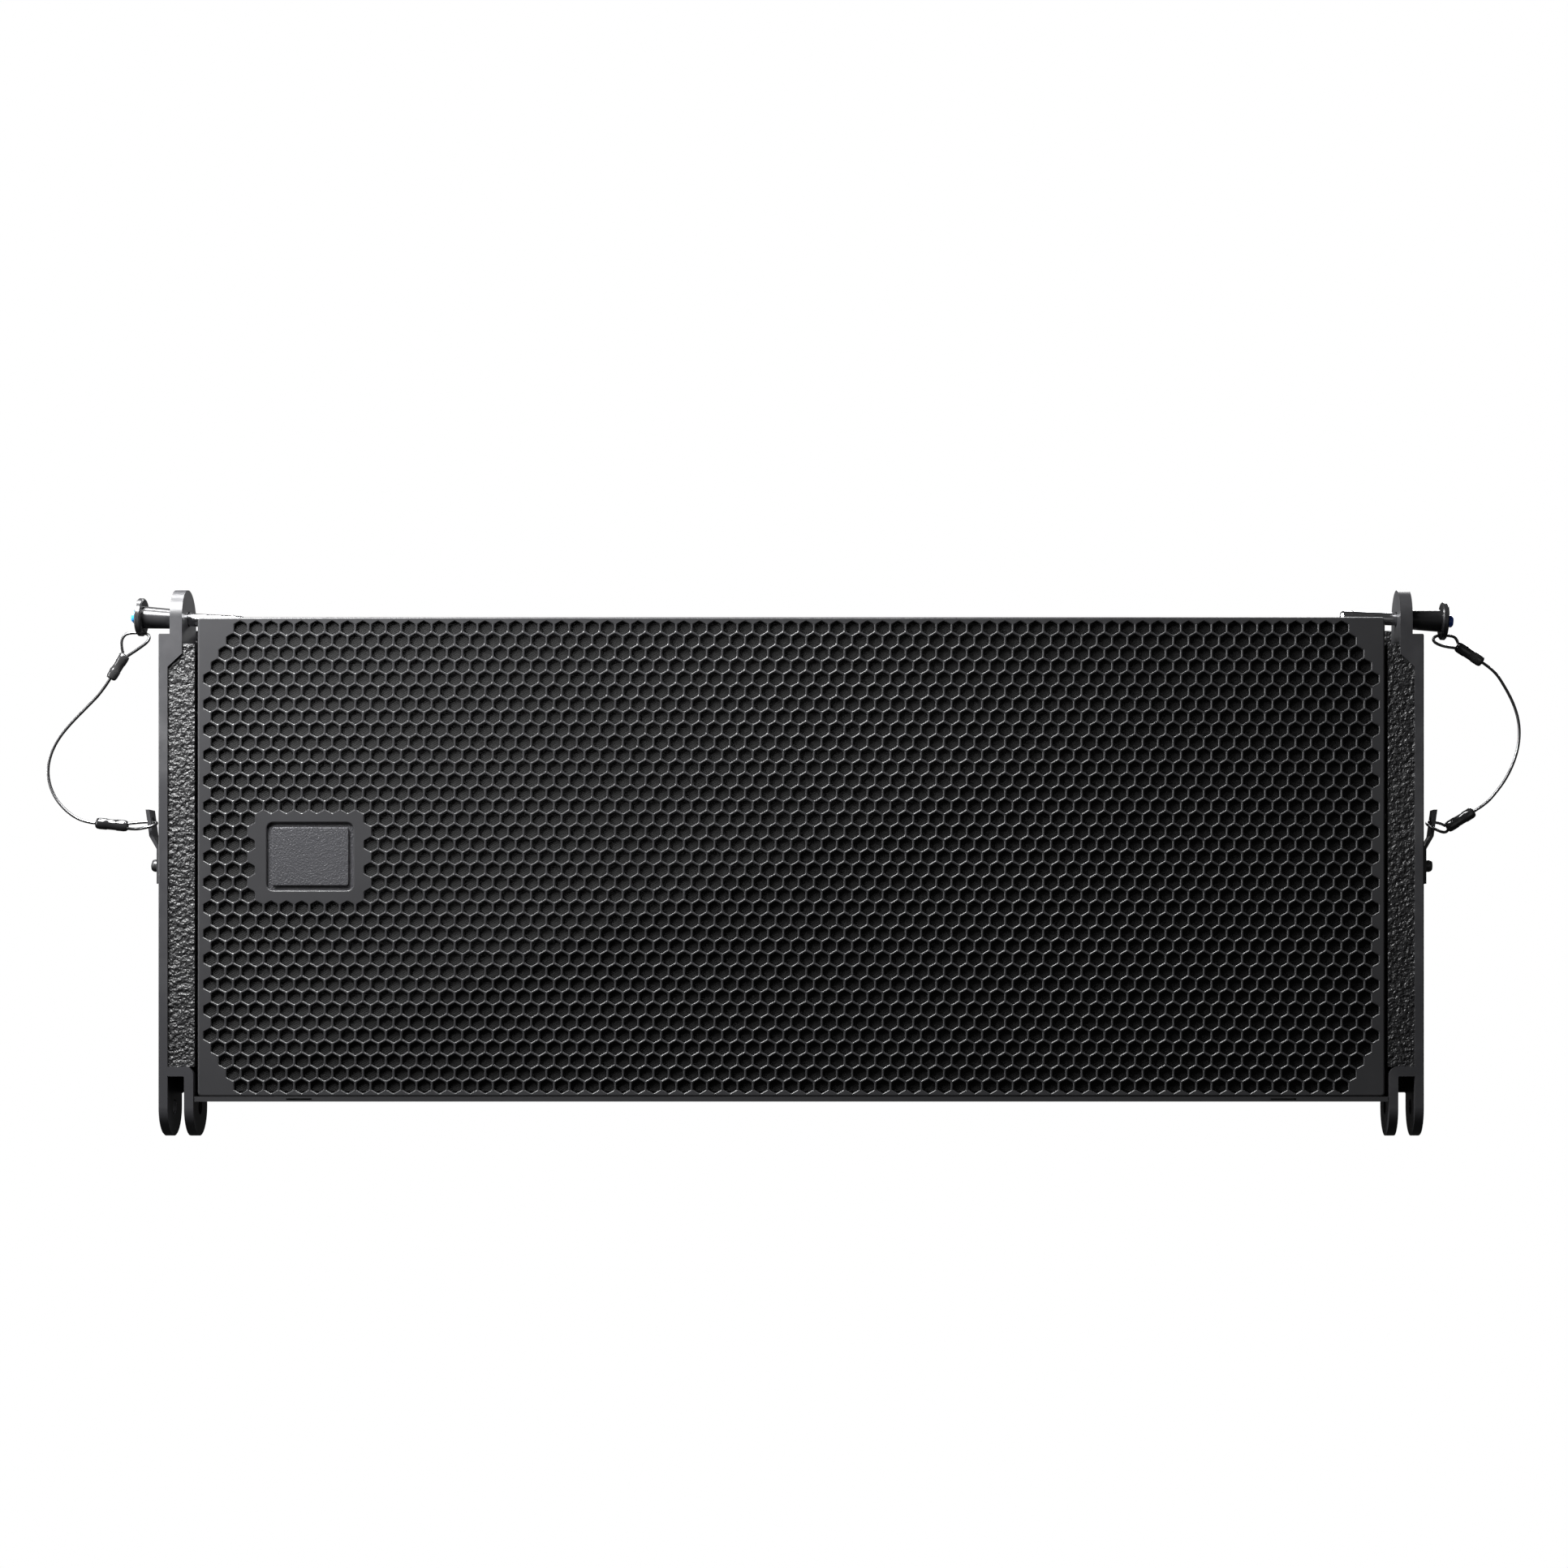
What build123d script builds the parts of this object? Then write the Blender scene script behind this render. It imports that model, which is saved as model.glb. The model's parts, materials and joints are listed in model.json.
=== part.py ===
from build123d import *
import math
import os

os.makedirs("parts", exist_ok=True)

# A passive two-way line array element: two 8-inch woofers beside a central waveguide, in a
# wedge-shaped plywood box hung from steel rigging at its front corners and the middle of its back.
# Millimetres. X is across, +Y runs back from the grille, +Z is up.
# The origin is the middle of the upper front link axis, from which the box hangs.

# ---- driving dimensions: box
plate_span = 620.0        # across the outer faces of the side rigging plates
plate_t = 4.5
side_t = 13.0             # plywood of the sides
board_t = 12.0            # plywood of the top, bottom, baffle and back
body_h = 237.5            # at the grille
rear_h = 159.0            # at the back
body_d = 380.0
box_gap = 3.5             # between this box and the next one hung under it
top_drop = 0.4            # from the upper link axis down to the top of the box
recess = 1.0              # from the front edge of the plates back to the box

# ---- driving dimensions: rigging
ear_w = 28.6              # width of every link ear, whose end is a half circle
link_hole_d = 7.6
ear_t = 6.0               # upper ear
ear_inset = 1.05          # from the upper ear to the plane of the side plate
weld_low = 18.3           # lower edge of the upper ear below its axis
gusset = 6.5              # slope from that edge down to the side plate
plate_low = 8.7           # top edge of the side plate below the same axis
plate_d = 89.3            # side plate, front to back
clevis_gap = 8.1          # between the two lower ears
bridge_t = 4.7            # web that carries the inner lower ear
bridge_rise = 20.2        # upper face of that web above the lower link axis
notch_z = -13.5           # floor of the upper corner notch
notch_gap = 1.9           # corner notches, front to back beyond an ear
notch_w = 30.0            # corner notches, inward from the side board
board_notch_z = -7.6      # floor of the notch in the top board
screw_r = 2.5             # shank of the wood screws
clear = 0.3               # working clearance between loose pieces

# ---- driving dimensions: grille
tray_gap = 1.5            # beside the grille
tray_d = 12.0
skin_t = 1.5
sill_t = 2.4              # strip under the grille
field_t = 0.5             # skin that carries the mass of the perforated field
field_margin = 9.0
foam_t = 8.0
badge_in = 55.2           # badge centre from the left edge of the grille
badge_drop = 117.8        # badge centre below the upper link axis
badge_w = 37.7
badge_h = 28.5
badge_gap = 2.3           # around the badge in its window
badge_flange = 4.0

# ---- driving dimensions: release pins
shank_d = 6.35
shank_reach = 33.5        # tip beyond the outer face of the ear
grip_l = 16.0
disc_d = 18.7
disc_t = 3.0
button_d = 6.0
button_proud = 3.2
ball_r = 1.2
ball_proud = 0.33
spindle_r = 1.0
neck_r = 0.6
ball_back = 6.0           # ball centre from the tip
left_tilt = 3.0           # degrees that the outer end of the left pin stands up
right_tilt = -2.3

# ---- driving dimensions: drive units
woofer_r = 104.5
woofer_side = 3.0         # between a woofer frame and the side board
woofer_relief = 0.1       # around a woofer frame, where thick boards are cut back for it
roll_w = 20.5             # from the cone to the edge of the frame
coil_r = 26.0
flange_t = 8.0
magnet_r = 60.0
motor_l = 34.0
horn_w = 150.0
horn_margin = 41.5        # waveguide flange, less than the height of the box
horn_l = 96.0
throat_w = 36.0
driver_r = 52.0
driver_l = 50.0

# ---- driving dimensions: back and sides
cheek_gap = 9.0
cheek_t = 5.0
arm_t = 8.0
arm_w = 25.0
arm_l = 110.0             # between the two holes of the rear link arm
pivot_d = 8.0
panel_w = 130.0
panel_h = 76.0
socket_r = 9.5
cup_w = 112.0
cup_h = 52.0
cup_d = 26.0
cup_t = 3.0
bracket_drop = 6.35       # rear bracket below the top edge of the back
bracket_l = 78.0
wire_d = 1.5
ferrule_d = 5.6

# ---- derived places
plate_in = plate_span / 2 - plate_t
inner_w = plate_in - side_t
tray_w = 2 * (inner_w - tray_gap)
badge_x = badge_in - tray_w / 2
woofer_x = inner_w - woofer_r - woofer_side
cone_r = woofer_r - roll_w
horn_h = body_h - horn_margin
notch_d = ear_w + notch_gap
front_y = -ear_w / 2
box_y = front_y + recess
back_y = front_y + body_d
mid_z = -top_drop - body_h / 2
taper = (body_h - rear_h) / 2 / body_d
ear_out = plate_in - ear_inset
ear_in = ear_out - ear_t
grille_y = box_y - recess / 2
tray_back = grille_y + tray_d
tray_low = mid_z - body_h / 2 + sill_t
tray_top = -top_drop
skin_back = grille_y + skin_t
board_y = tray_back + 2.3
baffle_y = board_y + 5.5
baffle_back = baffle_y + board_t
lower_z = -body_h - box_gap
bridge_z = lower_z + bridge_rise
inner_ear = plate_in - clevis_gap
badge_z = -badge_drop
plate_out = plate_span / 2


def skin_z(y, side):
    """Height of the outer top (side 1) or bottom (side -1) of the box at a depth."""
    return mid_z + side * (body_h / 2 - taper * (y - front_y))


def wedge(y0, y1, inset):
    """Side outline of the box between two depths, inset from its top and bottom."""
    return [(y0, skin_z(y0, 1) - inset), (y1, skin_z(y1, 1) - inset),
            (y1, skin_z(y1, -1) + inset), (y0, skin_z(y0, -1) + inset)]


def across(points, x0, x1, mode=Mode.ADD):
    """A side outline of (y, z) points, solid from one X station to another."""
    with BuildSketch(Plane.YZ.offset(min(x0, x1))) as section:
        with BuildLine():
            Polyline(*points, close=True)
        make_face()
    extrude(section.sketch, amount=abs(x1 - x0), mode=mode)


def block(x, y, z, mode=Mode.ADD):
    """A box from its (low, high) pairs."""
    centre = tuple((pair[0] + pair[1]) / 2 for pair in (x, y, z))
    with Locations(centre):
        Box(abs(x[1] - x[0]), abs(y[1] - y[0]), abs(z[1] - z[0]), mode=mode)


def turned(points, start, direction, mode=Mode.ADD):
    """A solid of (along, radius) points turned about the line from start."""
    line = Vector(*direction).normalized()
    beside = Vector(0, 0, 1) if abs(line.Z) < 0.9 else Vector(1, 0, 0)
    with BuildSketch(Plane(origin=start, x_dir=line, z_dir=line.cross(beside))) as section:
        with BuildLine():
            Polyline(*points, close=True)
        make_face()
    revolve(section.sketch, axis=Axis(start, line), mode=mode)


def rod(start, direction, length, radius, mode=Mode.ADD):
    turned([(0, 0), (length, 0), (length, radius), (0, radius)], start, direction, mode)


def screw(start, direction, shank_l, shank_r=screw_r, head_l=3.0, head_r=4.0):
    """A screw whose head stands on the point start and whose shank goes the other way."""
    turned([(-shank_l, 0), (-shank_l, shank_r), (0, shank_r), (0, head_r),
            (head_l * 0.6, head_r), (head_l, head_r * 0.75), (head_l, 0)], start, direction)


def ear(x0, x1, centre_z, end_z, mode=Mode.ADD):
    """An ear between two X stations, half round about its hole and straight to end_z."""
    half = ear_w / 2
    tip = centre_z + half if end_z < centre_z else centre_z - half
    with BuildSketch(Plane.YZ.offset(min(x0, x1))) as section:
        with BuildLine():
            ThreePointArc((-half, centre_z), (0, tip), (half, centre_z))
            Polyline((half, centre_z), (half, end_z), (-half, end_z), (-half, centre_z))
        make_face()
    extrude(section.sketch, amount=abs(x1 - x0), mode=mode)


def gusset_wedge(side, mode=Mode.ADD):
    """The sloping foot between the upper ear and the side plate."""
    with BuildSketch(Plane.XZ.offset(-front_y)) as section:
        with BuildLine():
            Polyline((side * ear_in, -weld_low), (side * plate_in, -weld_low),
                     (side * plate_in, -weld_low - gusset), close=True)
        make_face()
    extrude(section.sketch, amount=-notch_d, mode=mode)


def save(part, label):
    part.label = label
    export_step(part, f"parts/{label}.step")


sides = (("left", -1), ("right", 1))

# ---- fixings shared by the pieces they go through
plate_screws = [(62, -40), (62, mid_z), (62, lower_z + 41), (30, -66), (30, lower_z + 69)]
eyelet_y = -5.0
eyelet_bolt = (eyelet_y, -122.0)
grille_screw_z = (-48, -98, lower_z + 51)
grille_screw_y = grille_y + tray_d * 0.62
grille_screw_r = 2.0
handle_y = 222.0
horn_screws = [(sx * (horn_w / 2 - 3), sz * (horn_h / 2 - 12)) for sx in (-1, 1) for sz in (-1, 1)]
woofer_screw_r = woofer_r - 4.5
woofer_screw_turns = [math.radians(15 + 60 * turn) for turn in range(6)]
panel_x = 122.0
socket_x = (panel_x - 28, panel_x + 28)
bracket_top = mid_z + rear_h / 2 - bracket_drop
bracket_low = bracket_top - bracket_l
rear_screws = [(sx * 24, z) for sx in (-1, 1) for z in (bracket_top - 14, bracket_low + 12)]

# ---- plywood box
with BuildPart() as top_board:
    across([(board_y, skin_z(board_y, 1)), (back_y, skin_z(back_y, 1)),
            (back_y, skin_z(back_y, 1) - board_t), (board_y, skin_z(board_y, 1) - board_t)],
           -inner_w, inner_w)
    for side in (-1, 1):
        block((side * (inner_w - notch_w), side * inner_w), (board_y, box_y + notch_d),
              (board_notch_z, 5), mode=Mode.SUBTRACT)
        rod((side * woofer_x, board_y, mid_z), (0, 1, 0), baffle_y - board_y,
            woofer_r + woofer_relief, Mode.SUBTRACT)
save(top_board.part, "cabinet_top")

with BuildPart() as bottom_board:
    across([(board_y, skin_z(board_y, -1)), (back_y, skin_z(back_y, -1)),
            (back_y, skin_z(back_y, -1) + board_t), (board_y, skin_z(board_y, -1) + board_t)],
           -inner_w, inner_w)
    for side in (-1, 1):
        rod((side * woofer_x, board_y, mid_z), (0, 1, 0), baffle_y - board_y,
            woofer_r + woofer_relief, Mode.SUBTRACT)
save(bottom_board.part, "cabinet_bottom")

for name, side in sides:
    with BuildPart() as side_board:
        across(wedge(box_y, back_y, 0), side * inner_w, side * plate_in)
        block((side * inner_w, side * plate_in), (box_y, box_y + notch_d), (notch_z, 5),
              mode=Mode.SUBTRACT)
        block((side * ear_in, side * plate_in), (box_y, box_y + notch_d), (-weld_low, 5),
              mode=Mode.SUBTRACT)
        gusset_wedge(side, Mode.SUBTRACT)
        block((side * inner_w, side * plate_in), (box_y, box_y + notch_d),
              (bridge_z, skin_z(box_y, -1) - 5), mode=Mode.SUBTRACT)
        block((side * inner_w, side * plate_in),
              (handle_y - cup_w / 2, handle_y + cup_w / 2),
              (mid_z - cup_h / 2, mid_z + cup_h / 2), mode=Mode.SUBTRACT)
        for y, z in plate_screws + [eyelet_bolt]:
            rod((side * plate_in, y, z), (-side, 0, 0), side_t - 3, screw_r, Mode.SUBTRACT)
        for z in grille_screw_z:
            rod((side * inner_w, grille_screw_y, z), (side, 0, 0), 9, grille_screw_r,
                Mode.SUBTRACT)
    save(side_board.part, f"cabinet_{name}_side")

with BuildPart() as back_board:
    across(wedge(back_y - board_t, back_y, board_t), -inner_w, inner_w)
    for x in socket_x:
        rod((x, back_y - board_t, mid_z), (0, 1, 0), board_t, socket_r + 3.0, Mode.SUBTRACT)
    for x, z in rear_screws:
        rod((x, back_y - board_t, z), (0, 1, 0), board_t, screw_r, Mode.SUBTRACT)
save(back_board.part, "cabinet_back")

with BuildPart() as baffle:
    across(wedge(baffle_y, baffle_back, board_t), -inner_w, inner_w)
    for x in (-woofer_x, woofer_x):
        rod((x, baffle_y, mid_z), (0, 1, 0), board_t, woofer_r - 10.0, Mode.SUBTRACT)
        for turn in woofer_screw_turns:
            spot = (x + woofer_screw_r * math.cos(turn), baffle_y,
                    mid_z + woofer_screw_r * math.sin(turn))
            rod(spot, (0, 1, 0), board_t, screw_r, Mode.SUBTRACT)
    block((-horn_w / 2 + 9, horn_w / 2 - 9), (baffle_y, baffle_back),
          (mid_z - horn_h / 2 + 14, mid_z + horn_h / 2 - 14), mode=Mode.SUBTRACT)
save(baffle.part, "baffle_board")

# ---- grille: a folded steel tray, its foam, the sill strip under it and the badge
with BuildPart() as tray:
    block((-tray_w / 2, tray_w / 2), (grille_y, tray_back), (tray_low, tray_top))
    fillet(tray.edges().filter_by(Axis.Y), 2.0)
    fillet(tray.faces().sort_by(Axis.Y)[0].edges(), 0.8)
    block((-tray_w / 2 + skin_t, tray_w / 2 - skin_t), (skin_back, tray_back),
          (tray_low + skin_t, tray_top - skin_t), mode=Mode.SUBTRACT)
    field_x = tray_w / 2 - field_margin
    field_z = (tray_low + field_margin - 2, tray_top - field_margin + 4)
    pad = (badge_w / 2 + badge_gap + badge_flange, badge_h / 2 + badge_gap + badge_flange)
    for x in ((-field_x, badge_x - pad[0]), (badge_x + pad[0], field_x)):
        block(x, (grille_y + field_t, skin_back), field_z, mode=Mode.SUBTRACT)
    for z in ((field_z[0], badge_z - pad[1]), (badge_z + pad[1], field_z[1])):
        block((badge_x - pad[0], badge_x + pad[0]), (grille_y + field_t, skin_back), z,
              mode=Mode.SUBTRACT)
    with BuildSketch(Plane.XZ.offset(-skin_back)) as window:
        with Locations((badge_x, badge_z)):
            RectangleRounded(badge_w + 2 * badge_gap, badge_h + 2 * badge_gap, 3)
    extrude(window.sketch, amount=skin_t, mode=Mode.SUBTRACT)
    for side in (-1, 1):
        block((side * (inner_w - notch_w), side * tray_w), (grille_y + 8, tray_back + 1),
              (notch_z, tray_top + 1), mode=Mode.SUBTRACT)
        for z in grille_screw_z:
            rod((side * (tray_w / 2 + 1), grille_screw_y, z), (-side, 0, 0), skin_t + 2,
                grille_screw_r, Mode.SUBTRACT)
save(tray.part, "grille")

with BuildPart() as foam:
    foam_x = tray_w / 2 - skin_t - 5.5
    block((-foam_x, foam_x), (skin_back, skin_back + foam_t),
          (tray_low + skin_t + clear, tray_top - skin_t - clear))
    block((badge_x - pad[0] - 1, badge_x + pad[0] + 1), (skin_back, skin_back + 3),
          (badge_z - pad[1] - 1, badge_z + pad[1] + 1), mode=Mode.SUBTRACT)
save(foam.part, "grille_foam")

with BuildPart() as sill:
    block((-inner_w, inner_w), (grille_y, board_y), (tray_low - sill_t, tray_low))
    block((-inner_w, inner_w), (tray_back + clear, board_y), (tray_low, tray_low + 10))
    for side in (-1, 1):
        block((side * (inner_w - 57.5), side * (inner_w - 45)), (grille_y - 1, grille_y + 2.5),
              (tray_low - sill_t * 0.66, tray_low - sill_t * 0.33), mode=Mode.SUBTRACT)
save(sill.part, "grille_sill")

with BuildPart() as badge:
    with BuildSketch(Plane.XZ.offset(-skin_back)) as plate:
        with Locations((badge_x, badge_z)):
            RectangleRounded(badge_w, badge_h, 1.2)
    extrude(plate.sketch, amount=skin_t - 0.2)
    fillet(badge.faces().sort_by(Axis.Y)[0].edges(), 0.35)
    block((badge_x - pad[0], badge_x + pad[0]), (skin_back, skin_back + 1.2),
          (badge_z - pad[1], badge_z + pad[1]))
save(badge.part, "badge")

with BuildPart() as grille_screws:
    for side in (-1, 1):
        for z in grille_screw_z:
            screw((side * (tray_w / 2 - skin_t), grille_screw_y, z), (-side, 0, 0),
                  skin_t + inner_w - tray_w / 2 + 8, grille_screw_r, 2.2, 3.4)
save(grille_screws.part, "grille_screws")

# ---- steel rigging at the front corners
for name, side in sides:
    with BuildPart() as plate:
        across([(front_y, -plate_low), (front_y + plate_d, -plate_low - taper * plate_d),
                (front_y + plate_d, skin_z(front_y + plate_d, -1)),
                (ear_w / 2, skin_z(ear_w / 2, -1)), (front_y, skin_z(ear_w / 2, -1))],
               side * plate_in, side * plate_out)
        ear(side * plate_in, side * plate_out, lower_z, lower_z + 41)
        outer = plate.faces().filter_by(Axis.X).sort_by(Axis.X)[-1 if side > 0 else 0]
        chamfer(outer.edges(), 0.5)
        rod((side * (plate_in - 1), 0, lower_z), (side, 0, 0), plate_t + 2, link_hole_d / 2,
            Mode.SUBTRACT)
        for y, z in plate_screws + [eyelet_bolt]:
            rod((side * (plate_in - 1), y, z), (side, 0, 0), plate_t + 2, screw_r,
                Mode.SUBTRACT)
    save(plate.part, f"{name}_rigging_plate")

    with BuildPart() as link:
        ear(side * ear_in, side * ear_out, 0, -weld_low)
        block((side * ear_out, side * plate_in), (front_y, -front_y), (-weld_low, -plate_low))
        gusset_wedge(side)
        rod((side * (ear_in - 1), 0, 0), (side, 0, 0), ear_t + 2, link_hole_d / 2, Mode.SUBTRACT)
    save(link.part, f"{name}_top_link")

    with BuildPart() as bracket:
        with BuildSketch(Plane.XZ.offset(-front_y)) as bend:
            with BuildLine():
                FilletPolyline((side * plate_in, bridge_z), (side * (inner_ear - plate_t), bridge_z),
                               (side * (inner_ear - plate_t), lower_z - ear_w / 2), radius=4.2)
                FilletPolyline((side * (inner_ear - plate_t), lower_z - ear_w / 2),
                               (side * inner_ear, lower_z - ear_w / 2),
                               (side * inner_ear, bridge_z - bridge_t),
                               (side * plate_in, bridge_z - bridge_t),
                               (side * plate_in, bridge_z), radius=0.6)
            make_face()
        extrude(bend.sketch, amount=-ear_w)
        ear(side * (inner_ear - plate_t), side * plate_in, lower_z, bridge_z, Mode.INTERSECT)
        rod((side * (inner_ear - plate_t - 1), 0, lower_z), (side, 0, 0), plate_t + 2,
            link_hole_d / 2, Mode.SUBTRACT)
    save(bracket.part, f"{name}_lower_bracket")

lug_t = 1.8
lug_w = 11.0
lug_foot = 131.0
lug_top = 94.6
lug_lean = 1.8
lug_out = 3.6
lug_hole_z = -100.5
with BuildPart() as eyelets:
    for side in (-1, 1):
        inner = [(plate_out, -lug_foot), (plate_out, -114), (plate_out + lug_out, -107.7),
                 (plate_out + lug_out + lug_lean, -lug_top)]
        outline = inner + [(x + lug_t, z) for x, z in reversed(inner)]
        with BuildSketch(Plane.XZ.offset(-eyelet_y - lug_w / 2)) as lug:
            with BuildLine():
                Polyline(*[(side * x, z) for x, z in outline], close=True)
            make_face()
        extrude(lug.sketch, amount=lug_w)
        rod((side * plate_out, eyelet_y, lug_hole_z), (side, 0, 0), 12, 2.5, Mode.SUBTRACT)
        rod((side * (plate_out - 1), *eyelet_bolt), (side, 0, 0), 5, screw_r, Mode.SUBTRACT)
save(eyelets.part, "lanyard_eyelets")

with BuildPart() as rigging_screws:
    for side in (-1, 1):
        for y, z in plate_screws:
            screw((side * plate_out, y, z), (side, 0, 0), plate_t + side_t - 3)
        screw((side * (plate_out + lug_t), *eyelet_bolt), (side, 0, 0),
              plate_t + lug_t + side_t - 3, screw_r, 3.6, 3.1)
save(rigging_screws.part, "rigging_screws")

# ---- quick-release pins through the upper ears
ball_s = -shank_reach + ball_back
tilts = {"left": left_tilt, "right": right_tilt}
lanyard_r = (disc_d + grip_l * 0.68) / 4


def pin_axis(name, side):
    """Outward direction of a pin, its start at the ear's outer face, and its downward normal."""
    tilt = math.radians(tilts[name])
    out = Vector(side * math.cos(tilt), 0, math.sin(tilt))
    down = Vector(side * math.sin(tilt), 0, -math.cos(tilt))
    start = Vector(side * (ear_out - ear_t / 2), 0, 0) + out * (ear_t / 2)
    return start, out, down


for name, side in sides:
    start, out, down = pin_axis(name, side)
    bore_r = spindle_r + 0.08
    shank_end = 9.0
    with BuildPart() as shank:
        turned([(-shank_reach, 0), (-shank_reach, 2.2), (-shank_reach + 1.2, shank_d / 2),
                (shank_end, shank_d / 2), (shank_end, bore_r), (-shank_reach + 2, bore_r),
                (-shank_reach + 2, 0)], start, out)
        rod(start + out * ball_s - down * shank_d, down, shank_d * 2, ball_r + 0.1, Mode.SUBTRACT)
    save(shank.part, f"{name}_pin_shank")

    with BuildPart() as grip:
        turned([(clear, shank_d / 2), (clear, 4.4), (clear + 0.5, 4.8), (grip_l, 5.45),
                (grip_l, disc_d / 2 - 0.6), (grip_l + 0.6, disc_d / 2),
                (grip_l + disc_t - 0.6, disc_d / 2), (grip_l + disc_t, disc_d / 2 - 0.6),
                (grip_l + disc_t, button_d / 2 + 0.2), (shank_end, button_d / 2 + 0.2),
                (shank_end, shank_d / 2)], start, out)
        rod(start + out * (grip_l - 1) + down * lanyard_r, out, disc_t + 2, 1.2, Mode.SUBTRACT)
    save(grip.part, f"{name}_pin_grip")

    button_in = grip_l + 0.2
    button_out = grip_l + disc_t + button_proud
    with BuildPart() as button:
        turned([(ball_s - 1.4, 0), (ball_s - 1.4, spindle_r), (ball_s, spindle_r),
                (ball_s + 2, neck_r), (ball_s + 3.6, neck_r), (ball_s + 4, spindle_r),
                (button_in, spindle_r), (button_in, button_d / 2),
                (button_out - 0.8, button_d / 2), (button_out, button_d / 2 - 0.8),
                (button_out, 0)], start, out)
    save(button.part, f"{name}_pin_button")

    with BuildPart() as spring:
        turned([(shank_end, 1.5), (shank_end, 2.9), (button_in, 2.9), (button_in, 1.5)],
               start, out)
    save(spring.part, f"{name}_pin_spring")

    ball_off = shank_d / 2 + ball_proud - ball_r
    for letter, way in (("a", 1), ("b", -1)):
        with BuildPart() as ball:
            with Locations(start + out * ball_s + down * (way * ball_off)):
                Sphere(ball_r)
        save(ball.part, f"{name}_pin_ball_{letter}")

# ---- lanyards: a thin steel rope with a crimped loop at each end
# Points are (out from the face of the side plate, y, z).
lanyards = {
    "left": {
        "upper_ferrule": ((20.0, 0, -17.4), (27.5, 0, -29.3)),
        "upper_loop": [(21.1, 0, -16.7), (22.3, -0.6, -11.9), (20.4, -0.4, -7.4),
                       (16.2, 0, -6.5), (8.2, 0, -6.9), (7.6, -1.6, -10.6),
                       (13.0, -1.2, -14.6), (18.9, 0, -18.1)],
        "wire": [(27.5, 0, -29.3), (31.8, 0, -36.1), (39.0, -0.6, -43.6),
                 (46.3, -1.2, -51.2), (52.3, -1.8, -58.6), (56.2, -2.4, -66.6),
                 (57.6, -3.0, -74.6), (56.4, -3.6, -82.4), (52.8, -4.1, -89.8),
                 (46.2, -4.7, -96.6), (38.6, -5, -100.5), (33.2, -5, -101.0)],
        "lower_ferrule": ((33.2, -5, -101.0), (17.3, -5, -102.5)),
        "lower_loop": [(17.3, -5, -101.3), (12.0, -5, -100.5), (2.4, -5, -100.4),
                       (2.2, -12.3, -102.5), (8.5, -13.2, -104.1),
                       (13.3, -8.6, -104.2), (17.3, -5, -103.7)],
    },
    "right": {
        "upper_ferrule": ((18.5, 0, -13.0), (31.2, 0, -21.3)),
        "upper_loop": [(19.2, 0, -11.9), (18.4, -0.4, -9.3), (15.8, 0, -8.0),
                       (8.0, 0, -7.8), (6.2, -1.2, -10.9), (11.6, -1.0, -13.6),
                       (17.8, 0, -14.1)],
        "wire": [(31.2, 0, -21.3), (37.1, 0, -25.1), (42.4, -0.6, -33.6),
                 (46.4, -1.2, -41.6), (48.8, -1.8, -49.8), (49.2, -2.4, -57.8),
                 (47.9, -3.0, -65.6), (45.2, -3.5, -73.2), (41.4, -4.0, -80.2),
                 (36.6, -4.4, -86.5), (31.9, -5, -91.6), (26.1, -5, -95.2)],
        "lower_ferrule": ((26.1, -5, -95.2), (12.7, -5, -103.4)),
        "lower_loop": [(12.1, -5, -102.4), (9.6, -5, -100.7), (2.4, -5, -100.4),
                       (2.2, -12.3, -102.5), (7.6, -13.4, -105.4),
                       (11.6, -9.6, -106.0), (13.3, -5, -104.4)],
    },
}


def placed(points, side):
    """Lanyard points in the frame of the part."""
    return [Vector(side * (plate_out + out), y, z) for out, y, z in points]


def rope(spots, diameter):
    """A tube on straight runs joined by arcs as large as the runs allow; returns its figures."""
    runs = [b - a for a, b in zip(spots, spots[1:])]
    radii = []
    for before, after in zip(runs, runs[1:]):
        half_turn = math.radians(before.get_angle(after)) / 2
        radii.append(0.45 * min(before.length, after.length) / math.tan(half_turn))
    with BuildLine() as route:
        FilletPolyline(*spots, radius=radii)
    with BuildSketch(Plane(origin=spots[0], z_dir=runs[0])) as section:
        Circle(diameter / 2)
    path = route.wires()[0]
    sweep(section.sketch, path=path)
    return path.length, radii


def ferrule(ends):
    low = ends[0]
    way = ends[1] - low
    bevel = 0.9
    turned([(0, 0), (0, ferrule_d / 2 - bevel), (bevel, ferrule_d / 2),
            (way.length - bevel, ferrule_d / 2), (way.length, ferrule_d / 2 - bevel),
            (way.length, 0)], low, way)


for name, side in sides:
    route = lanyards[name]
    for end in ("upper", "lower"):
        with BuildPart() as crimp:
            length, radii = rope(placed(route[f"{end}_loop"], side), wire_d)
            ferrule(placed(route[f"{end}_ferrule"], side))
        print(name, end, "loop length", round(length, 1), "radii", [round(r, 1) for r in radii])
        save(crimp.part, f"{name}_lanyard_{end}")
    with BuildPart() as wire:
        length, radii = rope(placed(route["wire"], side), wire_d)
    true_volume = math.pi * wire_d ** 2 / 4 * length
    print(name, "wire length", round(length, 1), "radii", [round(r, 1) for r in radii],
          "volume ratio", round(wire.part.volume / true_volume, 4))
    save(wire.part, f"{name}_lanyard_wire")

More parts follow.
